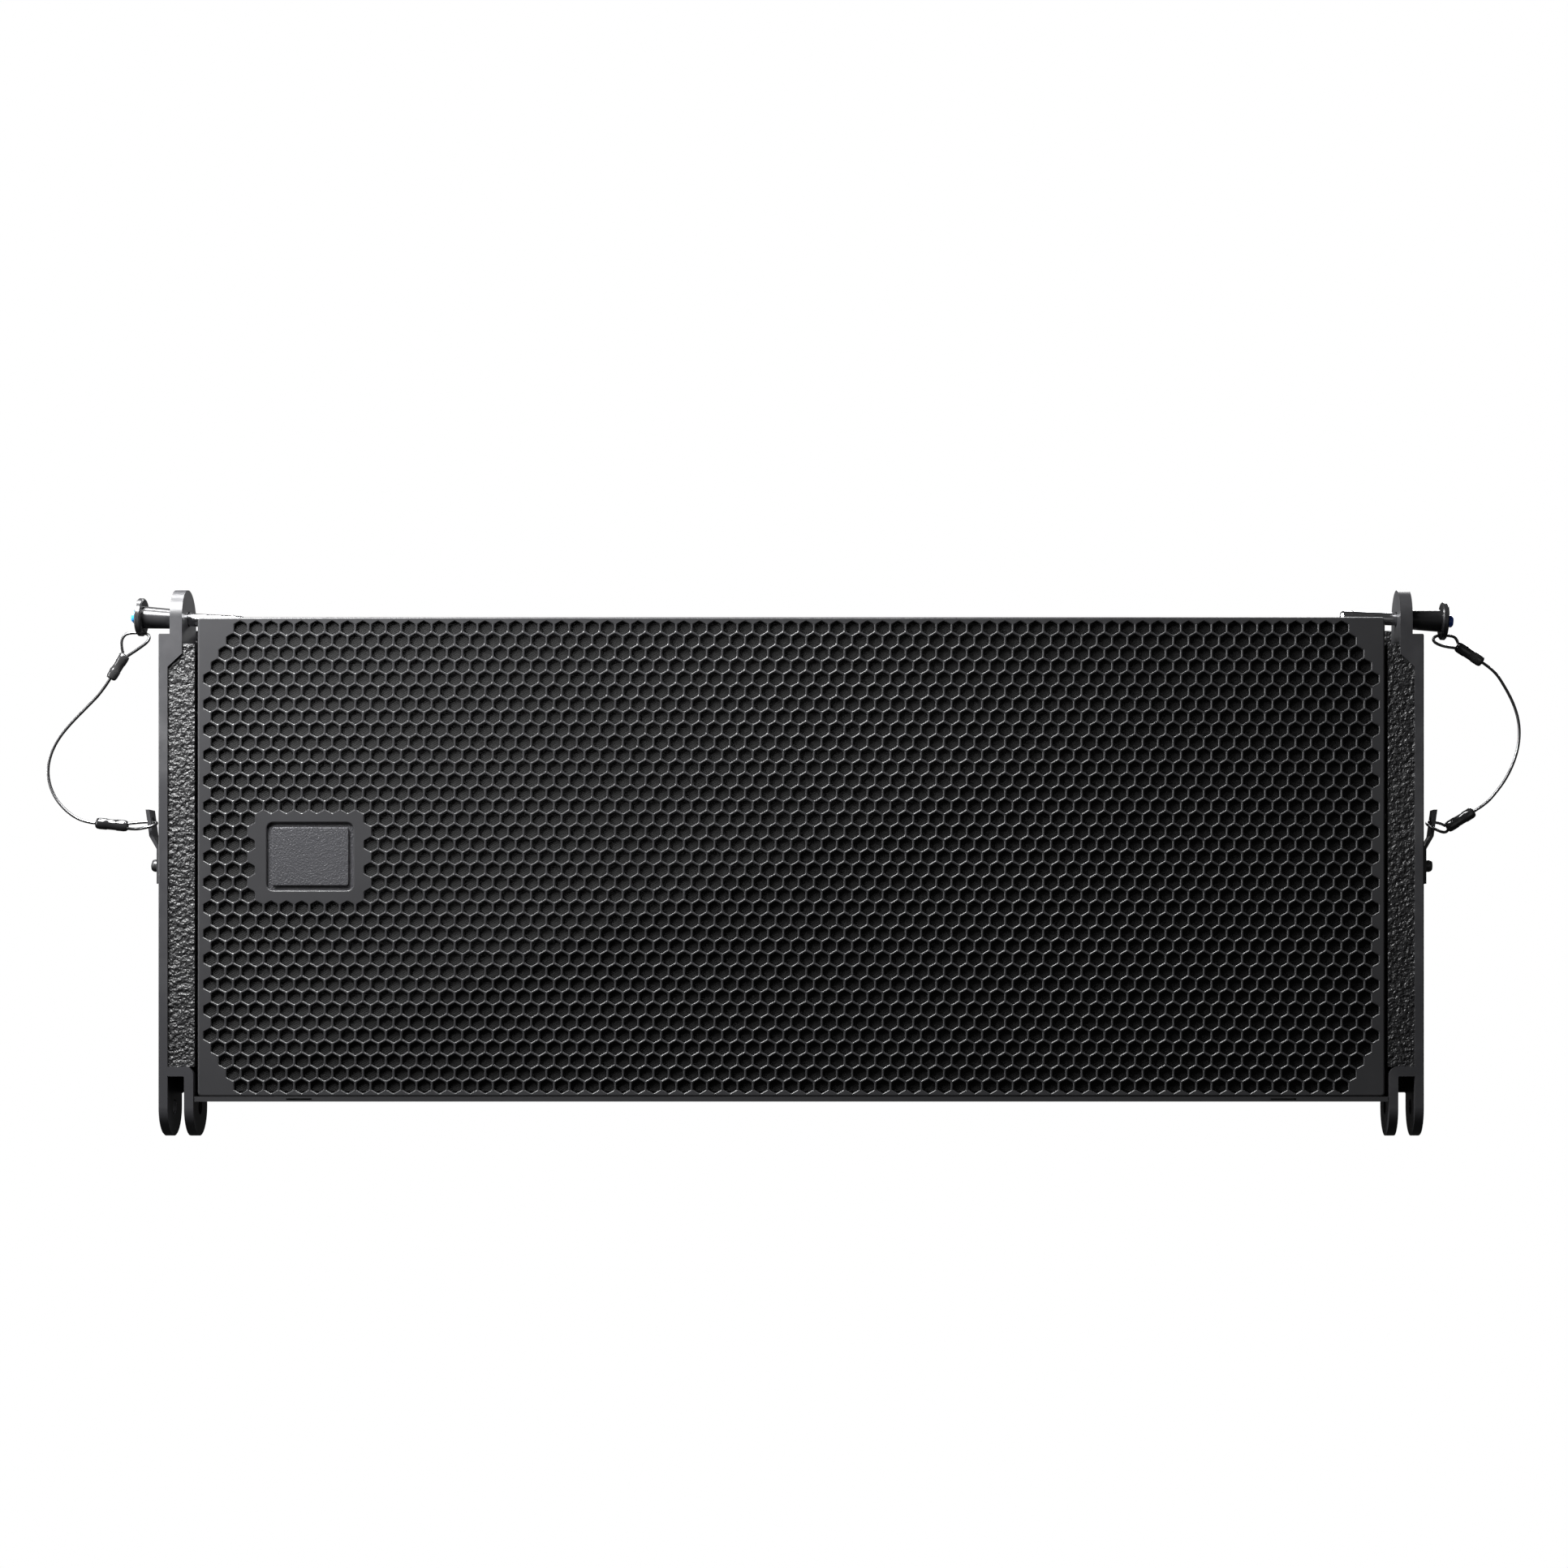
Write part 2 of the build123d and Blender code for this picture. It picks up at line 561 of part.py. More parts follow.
# ---- woofers
cone_y = baffle_y - 4.0
spider_y = cone_y + 42.0
magnet_y = cone_y + 58.0
coil_end = magnet_y + 12.0
for name, side in sides:
    axis_start = (side * woofer_x, 0, mid_z)
    back = (0, 1, 0)
    front = baffle_y - flange_t
    with BuildPart() as basket:
        turned([(front, woofer_r - 7.5), (front, woofer_r), (baffle_y, woofer_r),
                (baffle_y, woofer_r - 12), (spider_y - 2, magnet_r + 8), (spider_y + 1, magnet_r),
                (magnet_y - 3, magnet_r), (magnet_y, magnet_r), (magnet_y, coil_r + 3),
                (magnet_y - 3, coil_r + 3), (magnet_y - 3, magnet_r - 3),
                (spider_y + 1, magnet_r - 3), (spider_y - 2, magnet_r + 4),
                (baffle_y, woofer_r - 15), (front + 4, woofer_r - 15), (front + 4, woofer_r - 7.5)],
               axis_start, back)
        with Locations(Plane((side * woofer_x, baffle_y + 22, mid_z), z_dir=back)):
            with PolarLocations(magnet_r + 20, 6, 30):
                Box(50, 34, 24, mode=Mode.SUBTRACT)
        for turn in woofer_screw_turns:
            spot = (side * woofer_x + woofer_screw_r * math.cos(turn), front,
                    mid_z + woofer_screw_r * math.sin(turn))
            rod(spot, (0, 1, 0), flange_t, screw_r, Mode.SUBTRACT)
    save(basket.part, f"{name}_woofer_basket")

    with BuildPart() as motor:
        turned([(magnet_y, coil_r + 1.6), (magnet_y, magnet_r), (magnet_y + motor_l, magnet_r),
                (magnet_y + motor_l, 6), (magnet_y - 2, 6), (magnet_y - 2, coil_r - 1.4),
                (magnet_y + motor_l - 6, coil_r - 1.4), (magnet_y + motor_l - 6, coil_r + 1.6)],
               axis_start, back)
    save(motor.part, f"{name}_woofer_motor")

    with BuildPart() as cone:
        turned([(cone_y, cone_r), (cone_y + 28, coil_r), (coil_end, coil_r),
                (coil_end, coil_r + 0.8), (cone_y + 30, coil_r + 0.8), (cone_y + 29, coil_r + 1.8),
                (cone_y + 1.6, cone_r)], axis_start, back)
        turned([(cone_y + 11, 0), (cone_y + 15, 22), (cone_y + 20, 38), (cone_y + 22, 38),
                (cone_y + 17, 22), (cone_y + 13, 0)], axis_start, back)
    save(cone.part, f"{name}_woofer_cone")

    with BuildPart() as surround:
        lip = woofer_r - 7.8
        turned([(cone_y, cone_r), (cone_y - 2.5, cone_r + 1.5), (cone_y - 3.4, cone_r + 4),
                (cone_y - 2.5, cone_r + 6.5), (front + 3, lip - 4), (front + 3, lip),
                (front + 4, lip), (front + 4, lip - 4.6), (cone_y - 1.5, cone_r + 5.6),
                (cone_y - 2.2, cone_r + 4), (cone_y - 1.4, cone_r + 2.2),
                (cone_y + 1.6, cone_r + 1), (cone_y + 1.6, cone_r)], axis_start, back)
    save(surround.part, f"{name}_woofer_surround")

    with BuildPart() as spider:
        turned([(spider_y, coil_r + 0.8), (spider_y, magnet_r - 3), (spider_y + 1, magnet_r - 3),
                (spider_y + 1, coil_r + 0.8)], axis_start, back)
    save(spider.part, f"{name}_woofer_spider")

# ---- high-frequency section
with BuildPart() as horn:
    front = baffle_y - flange_t
    mouth = (horn_w - 20, horn_h - 30)
    throat_y = front + horn_l
    for grow, mode in ((6, Mode.ADD), (0, Mode.SUBTRACT)):
        with BuildSketch(Plane((0, front, mid_z), x_dir=(1, 0, 0), z_dir=(0, 1, 0))) as wide:
            Rectangle(mouth[0] + grow, mouth[1] + grow)
        with BuildSketch(Plane((0, throat_y, mid_z), x_dir=(1, 0, 0), z_dir=(0, 1, 0))) as thin:
            Rectangle(throat_w + grow, throat_w + grow)
        loft([wide.sketch, thin.sketch], mode=mode)
        if mode == Mode.ADD:
            block((-horn_w / 2, horn_w / 2), (front, baffle_y),
                  (mid_z - horn_h / 2, mid_z + horn_h / 2))
            rod((0, throat_y - 6, mid_z), (0, 1, 0), 6, driver_r - 6)
    for x, z in horn_screws:
        rod((x, front - 1, mid_z + z), (0, 1, 0), flange_t + 2, 2.2, Mode.SUBTRACT)
save(horn.part, "waveguide")

with BuildPart() as driver:
    turned([(throat_y, throat_w / 2), (throat_y, driver_r - 4), (throat_y + 6, driver_r),
            (throat_y + driver_l - 8, driver_r), (throat_y + driver_l, driver_r - 14),
            (throat_y + driver_l, 0), (throat_y + 22, 0), (throat_y + 16, throat_w / 2)],
           (0, 0, mid_z), (0, 1, 0))
save(driver.part, "compression_driver")

with BuildPart() as driver_screws:
    for side in (-1, 1):
        for turn in woofer_screw_turns:
            x = side * woofer_x + woofer_screw_r * math.cos(turn)
            z = mid_z + woofer_screw_r * math.sin(turn)
            screw((x, baffle_y - flange_t, z), (0, -1, 0), flange_t + board_t, screw_r, 1.9,
                  3.2)
save(driver_screws.part, "driver_screws")

# ---- crossover board on the bottom of the box
with BuildPart() as crossover:
    pcb_back = 320.0
    floor_z = skin_z(pcb_back, -1) + board_t + 3
    block((-70, 70), (215, pcb_back), (floor_z, floor_z + 2))
    for x, y in ((-60, 225), (60, 225), (-60, 310), (60, 310)):
        rod((x, y, floor_z), (0, 0, -1), floor_z - skin_z(y + 3, -1) - board_t, 3)
    for x, y, radius, height in ((-42, 245, 17, 22), (-42, 292, 15, 18), (0, 292, 15, 18),
                                 (38, 292, 8, 26)):
        rod((x, y, floor_z + 2), (0, 0, 1), height, radius)
    block((5, 58), (228, 246), (floor_z + 2, floor_z + 18))
    block((5, 50), (254, 268), (floor_z + 2, floor_z + 14))
save(crossover.part, "crossover")

# ---- input panel with two four-pole sockets
with BuildPart() as input_panel:
    block((panel_x - panel_w / 2, panel_x + panel_w / 2), (back_y, back_y + 2),
          (mid_z - panel_h / 2, mid_z + panel_h / 2))
    fillet(input_panel.edges().filter_by(Axis.Y), 5)
    for x in socket_x:
        rod((x, back_y - 1, mid_z), (0, 1, 0), 4, socket_r + 3.0, Mode.SUBTRACT)
save(input_panel.part, "input_panel")

with BuildPart() as sockets:
    for x in socket_x:
        turned([(back_y - 20, 0), (back_y - 20, socket_r + 3.0), (back_y + 2, socket_r + 3.0),
                (back_y + 2, socket_r + 6.5), (back_y + 5, socket_r + 5.5),
                (back_y + 5, socket_r), (back_y - 16, socket_r), (back_y - 16, 0)],
               (x, 0, mid_z), (0, 1, 0))
        for turn in range(4):
            angle = math.radians(45 + 90 * turn)
            spot = (x + 7.8 * math.cos(angle), back_y - 16, mid_z + 7.8 * math.sin(angle))
            rod(spot, (0, 1, 0), 8, 1.2)
save(sockets.part, "speaker_sockets")

# ---- rear bracket with the swinging link arm
pivot = (back_y + 34, bracket_top - 11)
park = (back_y + 13, bracket_top - 54)
foot_t = 5.0
with BuildPart() as rear_bracket:
    block((-34, 34), (back_y, back_y + foot_t), (bracket_low, bracket_top))
    for side in (-1, 1):
        across([(back_y + foot_t, bracket_top), (back_y + 38, bracket_top),
                (back_y + 47, bracket_top - 6), (back_y + 47, bracket_top - 20),
                (back_y + 24, bracket_low), (back_y + foot_t, bracket_low)],
               side * cheek_gap / 2, side * (cheek_gap / 2 + cheek_t))
    half = cheek_gap / 2 + cheek_t
    rod((-half - 1, *pivot), (1, 0, 0), 2 * half + 2, pivot_d / 2 + 0.05, Mode.SUBTRACT)
    rod((-half - 1, *park), (1, 0, 0), 2 * half + 2, shank_d / 2 + 0.2, Mode.SUBTRACT)
    for x, z in rear_screws:
        rod((x, back_y - 1, z), (0, 1, 0), foot_t + 2, screw_r, Mode.SUBTRACT)
save(rear_bracket.part, "rear_bracket")

with BuildPart() as arm:
    with BuildSketch(Plane.YZ.offset(-arm_t / 2)) as bar:
        with Locations((pivot[0], pivot[1] - arm_l / 2)):
            SlotCenterToCenter(arm_l, arm_w, rotation=90)
    extrude(bar.sketch, amount=arm_t)
    chamfer(arm.faces().filter_by(Axis.X).edges(), 0.5)
    rod((-arm_t, *pivot), (1, 0, 0), 2 * arm_t, pivot_d / 2 + 0.05, Mode.SUBTRACT)
    rod((-arm_t, pivot[0], pivot[1] - arm_l), (1, 0, 0), 2 * arm_t, link_hole_d / 2, Mode.SUBTRACT)
save(arm.part, "rear_link_arm")

with BuildPart() as pivot_bolt:
    turned([(-half - 6, 0), (-half - 6, 7), (-half, 7), (-half, pivot_d / 2),
            (half, pivot_d / 2), (half, 6.5), (half + 6, 6.5), (half + 6, 0)],
           (0, *pivot), (1, 0, 0))
save(pivot_bolt.part, "rear_pivot_bolt")

with BuildPart() as lock_pin:
    turned([(-half - 8, 0), (-half - 8, 2.2), (-half - 7, shank_d / 2), (half + clear, shank_d / 2),
            (half + clear, 5), (half + 14, 5.5), (half + 14, 7), (half + 17, 7),
            (half + 17, 0)], (0, *park), (1, 0, 0))
save(lock_pin.part, "rear_lock_pin")

with BuildPart() as rear_bracket_screws:
    for x, z in rear_screws:
        screw((x, back_y + foot_t, z), (0, 1, 0), foot_t + board_t, screw_r, 3.5, 4.5)
save(rear_bracket_screws.part, "rear_bracket_screws")

# ---- pocket handles in the sides
for name, side in sides:
    with BuildPart() as cup:
        y_pair = (handle_y - cup_w / 2, handle_y + cup_w / 2)
        z_pair = (mid_z - cup_h / 2, mid_z + cup_h / 2)
        block((side * (plate_in - cup_d), side * plate_in), y_pair, z_pair)
        fillet(cup.edges().filter_by(Axis.X), 0.4)
        block((side * plate_in, side * (plate_in + 2.5)), (y_pair[0] - 9, y_pair[1] + 9),
              (z_pair[0] - 9, z_pair[1] + 9))
        rim = cup.faces().sort_by(Axis.X)[-1 if side > 0 else 0]
        chamfer(rim.edges(), 1.2)
        block((side * (plate_in - cup_d + cup_t), side * (plate_in + 3)),
              (y_pair[0] + cup_t, y_pair[1] - cup_t), (z_pair[0] + cup_t, z_pair[1] - cup_t),
              mode=Mode.SUBTRACT)
    save(cup.part, f"{name}_handle_cup")
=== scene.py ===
# %% [markdown]
# # A line array speaker element
# The CAD model fixes the main sizes and every pin and hinge. This file gives the same object its
# looks: the punched steel grille, the sprayed coating, the steel rope of the lanyards. Each step
# first says what the real piece is, then how it is made here.

# %% Load the frame
import json
import math

import bmesh
import bpy
from mathutils import Matrix, Vector


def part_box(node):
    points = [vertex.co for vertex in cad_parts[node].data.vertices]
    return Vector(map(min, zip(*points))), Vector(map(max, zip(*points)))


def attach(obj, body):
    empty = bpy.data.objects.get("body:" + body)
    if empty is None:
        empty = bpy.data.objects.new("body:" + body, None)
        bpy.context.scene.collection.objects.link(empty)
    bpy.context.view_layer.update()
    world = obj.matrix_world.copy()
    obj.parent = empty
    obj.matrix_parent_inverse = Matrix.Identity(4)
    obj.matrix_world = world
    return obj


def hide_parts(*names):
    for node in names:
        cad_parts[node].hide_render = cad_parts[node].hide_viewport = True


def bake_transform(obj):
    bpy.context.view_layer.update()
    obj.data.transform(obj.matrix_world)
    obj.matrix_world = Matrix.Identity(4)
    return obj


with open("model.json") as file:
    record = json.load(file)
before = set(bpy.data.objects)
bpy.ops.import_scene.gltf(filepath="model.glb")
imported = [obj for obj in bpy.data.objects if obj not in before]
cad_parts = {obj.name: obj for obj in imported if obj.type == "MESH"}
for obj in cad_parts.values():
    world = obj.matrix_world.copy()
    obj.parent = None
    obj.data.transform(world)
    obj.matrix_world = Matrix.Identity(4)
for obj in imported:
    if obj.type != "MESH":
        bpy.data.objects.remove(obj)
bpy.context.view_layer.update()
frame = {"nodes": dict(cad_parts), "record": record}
nodes = frame["nodes"]
MM = 0.001

# %% [markdown]
# ## Camera and studio
# A long lens far away shows the front almost square on. The camera stands right of the middle and
# below it, so the ears show a little of their inner sides, and a small shift brings the whole box
# back to the middle of the picture.

# %% Camera
grille_low, grille_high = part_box("grille")
front_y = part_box("left_rigging_plate")[0][1]
VIEW_WIDTH = 768 * MM
CAMERA_BACK = 1450 * MM
EYE = Vector((66 * MM, front_y - CAMERA_BACK, -175.3 * MM))
FRAME_MIDDLE = Vector((-3.5 * MM, front_y, -82.3 * MM))

camera_data = bpy.data.cameras.new("camera")
camera_data.sensor_width = 36
camera_data.lens = camera_data.sensor_width * CAMERA_BACK / VIEW_WIDTH
camera_data.shift_x = (FRAME_MIDDLE.x - EYE.x) / VIEW_WIDTH
camera_data.shift_y = (FRAME_MIDDLE.z - EYE.z) / VIEW_WIDTH
camera_data.clip_start = 0.05
camera = bpy.data.objects.new("camera", camera_data)
camera.location = EYE
camera.rotation_euler = (math.radians(90), 0, 0)
bpy.context.scene.collection.objects.link(camera)
bpy.context.scene.camera = camera
print("lens", round(camera_data.lens, 1))


# %% Small helpers for objects and meshes
def link(name, data):
    """Puts a mesh or a curve in the scene as an object at the origin."""
    made = bpy.data.objects.new(name, data)
    bpy.context.scene.collection.objects.link(made)
    return made


def mesh_object(name, verts, faces):
    mesh = bpy.data.meshes.new(name)
    mesh.from_pydata([tuple(v) for v in verts], [], faces)
    mesh.update()
    return link(name, mesh)


def strips(name, rings, closed=False):
    """A mesh of rings of equal length joined in order, with a flat cap on each end if closed."""
    count = len(rings[0])
    verts = [point for ring in rings for point in ring]
    faces = []
    for i in range(len(rings) - 1):
        for k in range(count):
            a, b = i * count + k, i * count + (k + 1) % count
            faces.append((a, b, b + count, a + count))
    if closed:
        faces.append(tuple(range(count)))
        faces.append(tuple(len(verts) - 1 - k for k in range(count)))
    return mesh_object(name, verts, faces)


def use_material(piece, material):
    """One material for the whole piece, in the slots that it has."""
    if not piece.material_slots:
        piece.data.materials.append(material)
    for place in piece.material_slots:
        place.material = material


def tidy_normals(piece, merge=1e-6):
    """Welds doubles and points every face outwards."""
    work = bmesh.new()
    work.from_mesh(piece.data)
    bmesh.ops.remove_doubles(work, verts=work.verts, dist=merge)
    bmesh.ops.recalc_face_normals(work, faces=work.faces)
    work.to_mesh(piece.data)
    work.free()


def shade(piece, angle=35):
    """Smooth shading that keeps edges sharper than the angle."""
    for face in piece.data.polygons:
        face.use_smooth = True
    work = bmesh.new()
    work.from_mesh(piece.data)
    for edge in work.edges:
        if len(edge.link_faces) == 2 and edge.calc_face_angle(0) > math.radians(angle):
            edge.smooth = False
    work.to_mesh(piece.data)
    work.free()


# %% [markdown]
# ## Lanyards
# Each release pin hangs on a short steel rope, so that it can't be lost. The rope is clamped in a
# crimp sleeve at each end, where it turns back on itself in a small loop. The line of the rope is a
# smooth spline through the same points as the CAD route. Seven bundles of wire are laid
# round each other, so the tube that follows the line has a lobed section that turns as it goes.

# %% Rope routes in millimetres
ROPE_D = 1.5 * MM
VALLEY = 0.86         # how far out the valley between two strands lies, as a share of the radius
STRAND_ROUND = 0.7    # under 1 makes the strands fuller and the valleys between them narrower
ROPES = {
    "left": {
        "upper_ferrule": ((-330.0, 0, -17.4), (-337.5, 0, -29.3)),
        "upper_loop": [(-331.1, 0, -16.7), (-332.3, -0.6, -11.9), (-330.4, -0.4, -7.4),
                       (-326.2, 0, -6.5), (-318.2, 0, -6.9), (-317.6, -1.6, -10.6),
                       (-323.0, -1.2, -14.6), (-328.9, 0, -18.1)],
        "wire": [(-337.5, 0, -29.3), (-341.8, 0, -36.1), (-349.0, -0.6, -43.6),
                 (-356.3, -1.2, -51.2), (-362.3, -1.8, -58.6), (-366.2, -2.4, -66.6),
                 (-367.6, -3.0, -74.6), (-366.4, -3.6, -82.4), (-362.8, -4.1, -89.8),
                 (-356.2, -4.7, -96.6), (-348.6, -5, -100.5), (-343.2, -5, -101.0)],
        "lower_ferrule": ((-343.2, -5, -101.0), (-327.3, -5, -102.5)),
        "lower_loop": [(-327.3, -5, -101.3), (-322.0, -5, -100.5), (-312.4, -5, -100.4),
                       (-312.2, -12.3, -102.5), (-318.5, -13.2, -104.1),
                       (-323.3, -8.6, -104.2), (-327.3, -5, -103.7)],
    },
    "right": {
        "upper_ferrule": ((328.5, 0, -13.0), (341.2, 0, -21.3)),
        "upper_loop": [(329.2, 0, -11.9), (328.4, -0.4, -9.3), (325.8, 0, -8.0),
                       (318.0, 0, -7.8), (316.2, -1.2, -10.9), (321.6, -1.0, -13.6),
                       (327.8, 0, -14.1)],
        "wire": [(341.2, 0, -21.3), (347.1, 0, -25.1), (352.4, -0.6, -33.6),
                 (356.4, -1.2, -41.6), (358.8, -1.8, -49.8), (359.2, -2.4, -57.8),
                 (357.9, -3.0, -65.6), (355.2, -3.5, -73.2), (351.4, -4.0, -80.2),
                 (346.6, -4.4, -86.5), (341.9, -5, -91.6), (336.1, -5, -95.2)],
        "lower_ferrule": ((336.1, -5, -95.2), (322.7, -5, -103.4)),
        "lower_loop": [(322.1, -5, -102.4), (319.6, -5, -100.7), (312.4, -5, -100.4),
                       (312.2, -12.3, -102.5), (317.6, -13.4, -105.4),
                       (321.6, -9.6, -106.0), (323.3, -5, -104.4)],
    },
}


def spline_line(name, points, resolution=10):
    """Points along a NURBS spline whose control points are the route, in metres."""
    data = bpy.data.curves.new(name, "CURVE")
    data.dimensions = "3D"
    spline = data.splines.new("NURBS")
    spline.points.add(len(points) - 1)
    for place, point in zip(spline.points, points):
        place.co = (point[0] * MM, point[1] * MM, point[2] * MM, 1)
    spline.order_u = 3
    spline.use_endpoint_u = True
    spline.resolution_u = resolution
    holder = link(name, data)
    bpy.context.view_layer.update()
    line = bpy.data.meshes.new_from_object(holder)
    spots = [vertex.co.copy() for vertex in line.vertices]
    bpy.data.meshes.remove(line)
    bpy.data.objects.remove(holder)
    return spots


def laid_rope(name, spots, diameter, lay=8 * MM, strands=6, around=24):
    """A tube whose lobed section turns once in each lay length. Its ends are closed."""
    rings = []
    across = None
    run = 0.0
    for i, spot in enumerate(spots):
        ahead = spots[min(i + 1, len(spots) - 1)] - spots[max(i - 1, 0)]
        ahead.normalize()
        if across is None:
            across = ahead.orthogonal().normalized()
        across = (across - ahead * across.dot(ahead)).normalized()
        beside = ahead.cross(across)
        if i:
            run += (spot - spots[i - 1]).length
        twist = 2 * math.pi * run / lay
        ring = []
        for k in range(around):
            angle = 2 * math.pi * k / around
            swell = abs(math.cos(strands * (angle - twist) / 2)) ** STRAND_ROUND
            reach = diameter / 2 * (VALLEY + (1 - VALLEY) * swell)
            ring.append(spot + across * math.cos(angle) * reach + beside * math.sin(angle) * reach)
        rings.append(ring)
    rope = strips(name, rings, closed=True)
    tidy_normals(rope)
    shade(rope, 60)
    return rope


def crimp_sleeve(name, ends, width=5.6 * MM, depth=4.4 * MM, around=28):
    """An oval sleeve pressed in a little round its middle, closed at both ends."""
    low, high = [Vector(end) * MM for end in ends]
    way = high - low
    length = way.length
    way.normalize()
    across = Vector((0, 1, 0)).cross(way).normalized()
    # station along the sleeve, and how far its outline stands out there
    profile = [(0, 0.60), (0.015, 0.78), (0.05, 0.93), (0.12, 1.0), (0.34, 1.0), (0.37, 0.93),
               (0.63, 0.93), (0.66, 1.0), (0.88, 1.0), (0.95, 0.93), (0.985, 0.78), (1.0, 0.60)]
    rings = []
    for station, size in profile:
        centre = low + way * station * length
        ring = []
        for k in range(around):
            angle = 2 * math.pi * k / around
            ring.append(centre + across * math.cos(angle) * width / 2 * size
                        + Vector((0, math.sin(angle) * depth / 2 * size, 0)))
        rings.append(ring)
    sleeve = strips(name, rings, closed=True)
    tidy_normals(sleeve)
    shade(sleeve, 40)
    return sleeve


# %% Make both lanyards and say how they move
metal_pieces, sleeve_pieces = [], []
for side, route in ROPES.items():
    pin = f"{side}_pin"
    for end, body in (("upper", pin), ("lower", "root")):
        loop_line = spline_line("line", route[f"{end}_loop"])
        loop = laid_rope(f"{side}_lanyard_{end}_loop", loop_line, ROPE_D)
        sleeve = crimp_sleeve(f"{side}_lanyard_{end}_sleeve", route[f"{end}_ferrule"])
        for piece in (loop, sleeve):
            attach(piece, body)
            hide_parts(f"{side}_lanyard_{end}")
        metal_pieces.append(loop)
        sleeve_pieces.append(sleeve)
    line = spline_line("line", route["wire"])
    rope = laid_rope(f"{side}_lanyard_rope", line, ROPE_D)
    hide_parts(f"{side}_lanyard_wire")
    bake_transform(rope)
    metal_pieces.append(rope)

# %% [markdown]
# ## Studio
# The key light is a small soft box near the upper left corner, so close that the lower right falls
# into shade. A strip over the top draws the thin bright line on every edge that looks up. The floor
# is far below. Floor and background are white where they are seen, and give little light.


# %% Lights, floor and background
def soft_box(name, place, target, width, height, power):
    """A rectangular lamp that looks at its target: sizes in metres, power in watts."""
    data = bpy.data.lights.new(name, "AREA")
    data.shape = "RECTANGLE"
    data.size = width
    data.size_y = height
    data.energy = power
    lamp = link(name, data)
    lamp.location = place
    lamp.rotation_euler = (Vector(target) - Vector(place)).to_track_quat("-Z", "Y").to_euler()
    return lamp


soft_box("key", (-0.46, -0.30, 0.33), (-0.30, 0, -0.02), 0.22, 0.22, 10.5)
soft_box("overhead", (-0.22, -0.15, 0.55), (-0.08, -0.01, -0.10), 0.85, 0.12, 10)
soft_box("side", (-0.95, -0.42, 0.05), (-0.2, 0, -0.10), 0.15, 0.5, 2)
soft_box("fill", (0.9, -1.5, -0.1), (0.1, 0, -0.12), 0.9, 0.9, 0.5)
soft_box("rear", (0.9, 1.6, 1.0), (0, 0.2, -0.1), 1.0, 1.0, 34)
soft_box("rear_side", (-1.5, 0.9, 0.3), (-0.2, 0.15, -0.1), 0.8, 0.8, 18)

BACKDROP = 1.0
AMBIENT = 0.035


def seen_white(tree, output, shader_type):
    """White where it is seen directly, and only a little light for everything else."""
    white = tree.nodes.new(shader_type)
    white.inputs["Color"].default_value = (BACKDROP, BACKDROP, BACKDROP, 1)
    dim = tree.nodes.new(shader_type)
    dim.inputs["Color"].default_value = (1, 1, 1, 1)
    dim.inputs["Strength"].default_value = AMBIENT
    path = tree.nodes.new("ShaderNodeLightPath")
    pick = tree.nodes.new("ShaderNodeMixShader")
    tree.links.new(path.outputs["Is Camera Ray"], pick.inputs["Fac"])
    tree.links.new(dim.outputs[0], pick.inputs[1])
    tree.links.new(white.outputs[0], pick.inputs[2])
    tree.links.new(pick.outputs[0], output.inputs["Surface"])


world = bpy.data.worlds.new("studio")
bpy.context.scene.world = world
world.use_nodes = True
world.node_tree.nodes.clear()
seen_white(world.node_tree, world.node_tree.nodes.new("ShaderNodeOutputWorld"),
           "ShaderNodeBackground")

FLOOR_Z = -0.75
FLOOR_HALF = 4
floor_corners = [(x * FLOOR_HALF, y * FLOOR_HALF, FLOOR_Z)
                 for x, y in ((-1, -1), (1, -1), (1, 1), (-1, 1))]
floor = mesh_object("floor", floor_corners, [(0, 1, 2, 3)])
floor_look = bpy.data.materials.new("pale_floor")
floor_look.use_nodes = True
floor_look.node_tree.nodes.clear()
seen_white(floor_look.node_tree, floor_look.node_tree.nodes.new("ShaderNodeOutputMaterial"),
           "ShaderNodeEmission")
floor.data.materials.append(floor_look)
bpy.context.scene.view_settings.view_transform = "Standard"

# %% [markdown]
# ## Shared surface effects
# Two effects are used on many finishes, so each is a node group built once. **Grain** is the fine
# orange-peel of a sprayed or moulded surface: it gives a height for bump and a mask. **Handling**
# is what years of rigging do: soft patches where the colour is a little paler, or on bare metal a
# little darker.


# %% Node helpers
def wire(tree, source, target):
    tree.links.new(source, target)


def maths(tree, operation, *values):
    """A Math node fed with numbers or sockets; returns its output."""
    node = tree.nodes.new("ShaderNodeMath")
    node.operation = operation
    for i, value in enumerate(values):
        if isinstance(value, (int, float)):
            node.inputs[i].default_value = value
        else:
            wire(tree, value, node.inputs[i])
    return node.outputs[0]


def effect_group(name, inputs, outputs):
    """An empty shader group with named number inputs and outputs."""
    group = bpy.data.node_groups.new(name, "ShaderNodeTree")
    group.interface.new_socket("Vector", in_out="INPUT", socket_type="NodeSocketVector")
    for label, value in inputs.items():
        made = group.interface.new_socket(label, in_out="INPUT", socket_type="NodeSocketFloat")
        made.default_value = value
    for label in outputs:
        group.interface.new_socket(label, in_out="OUTPUT", socket_type="NodeSocketFloat")
    return group, group.nodes.new("NodeGroupInput"), group.nodes.new("NodeGroupOutput")


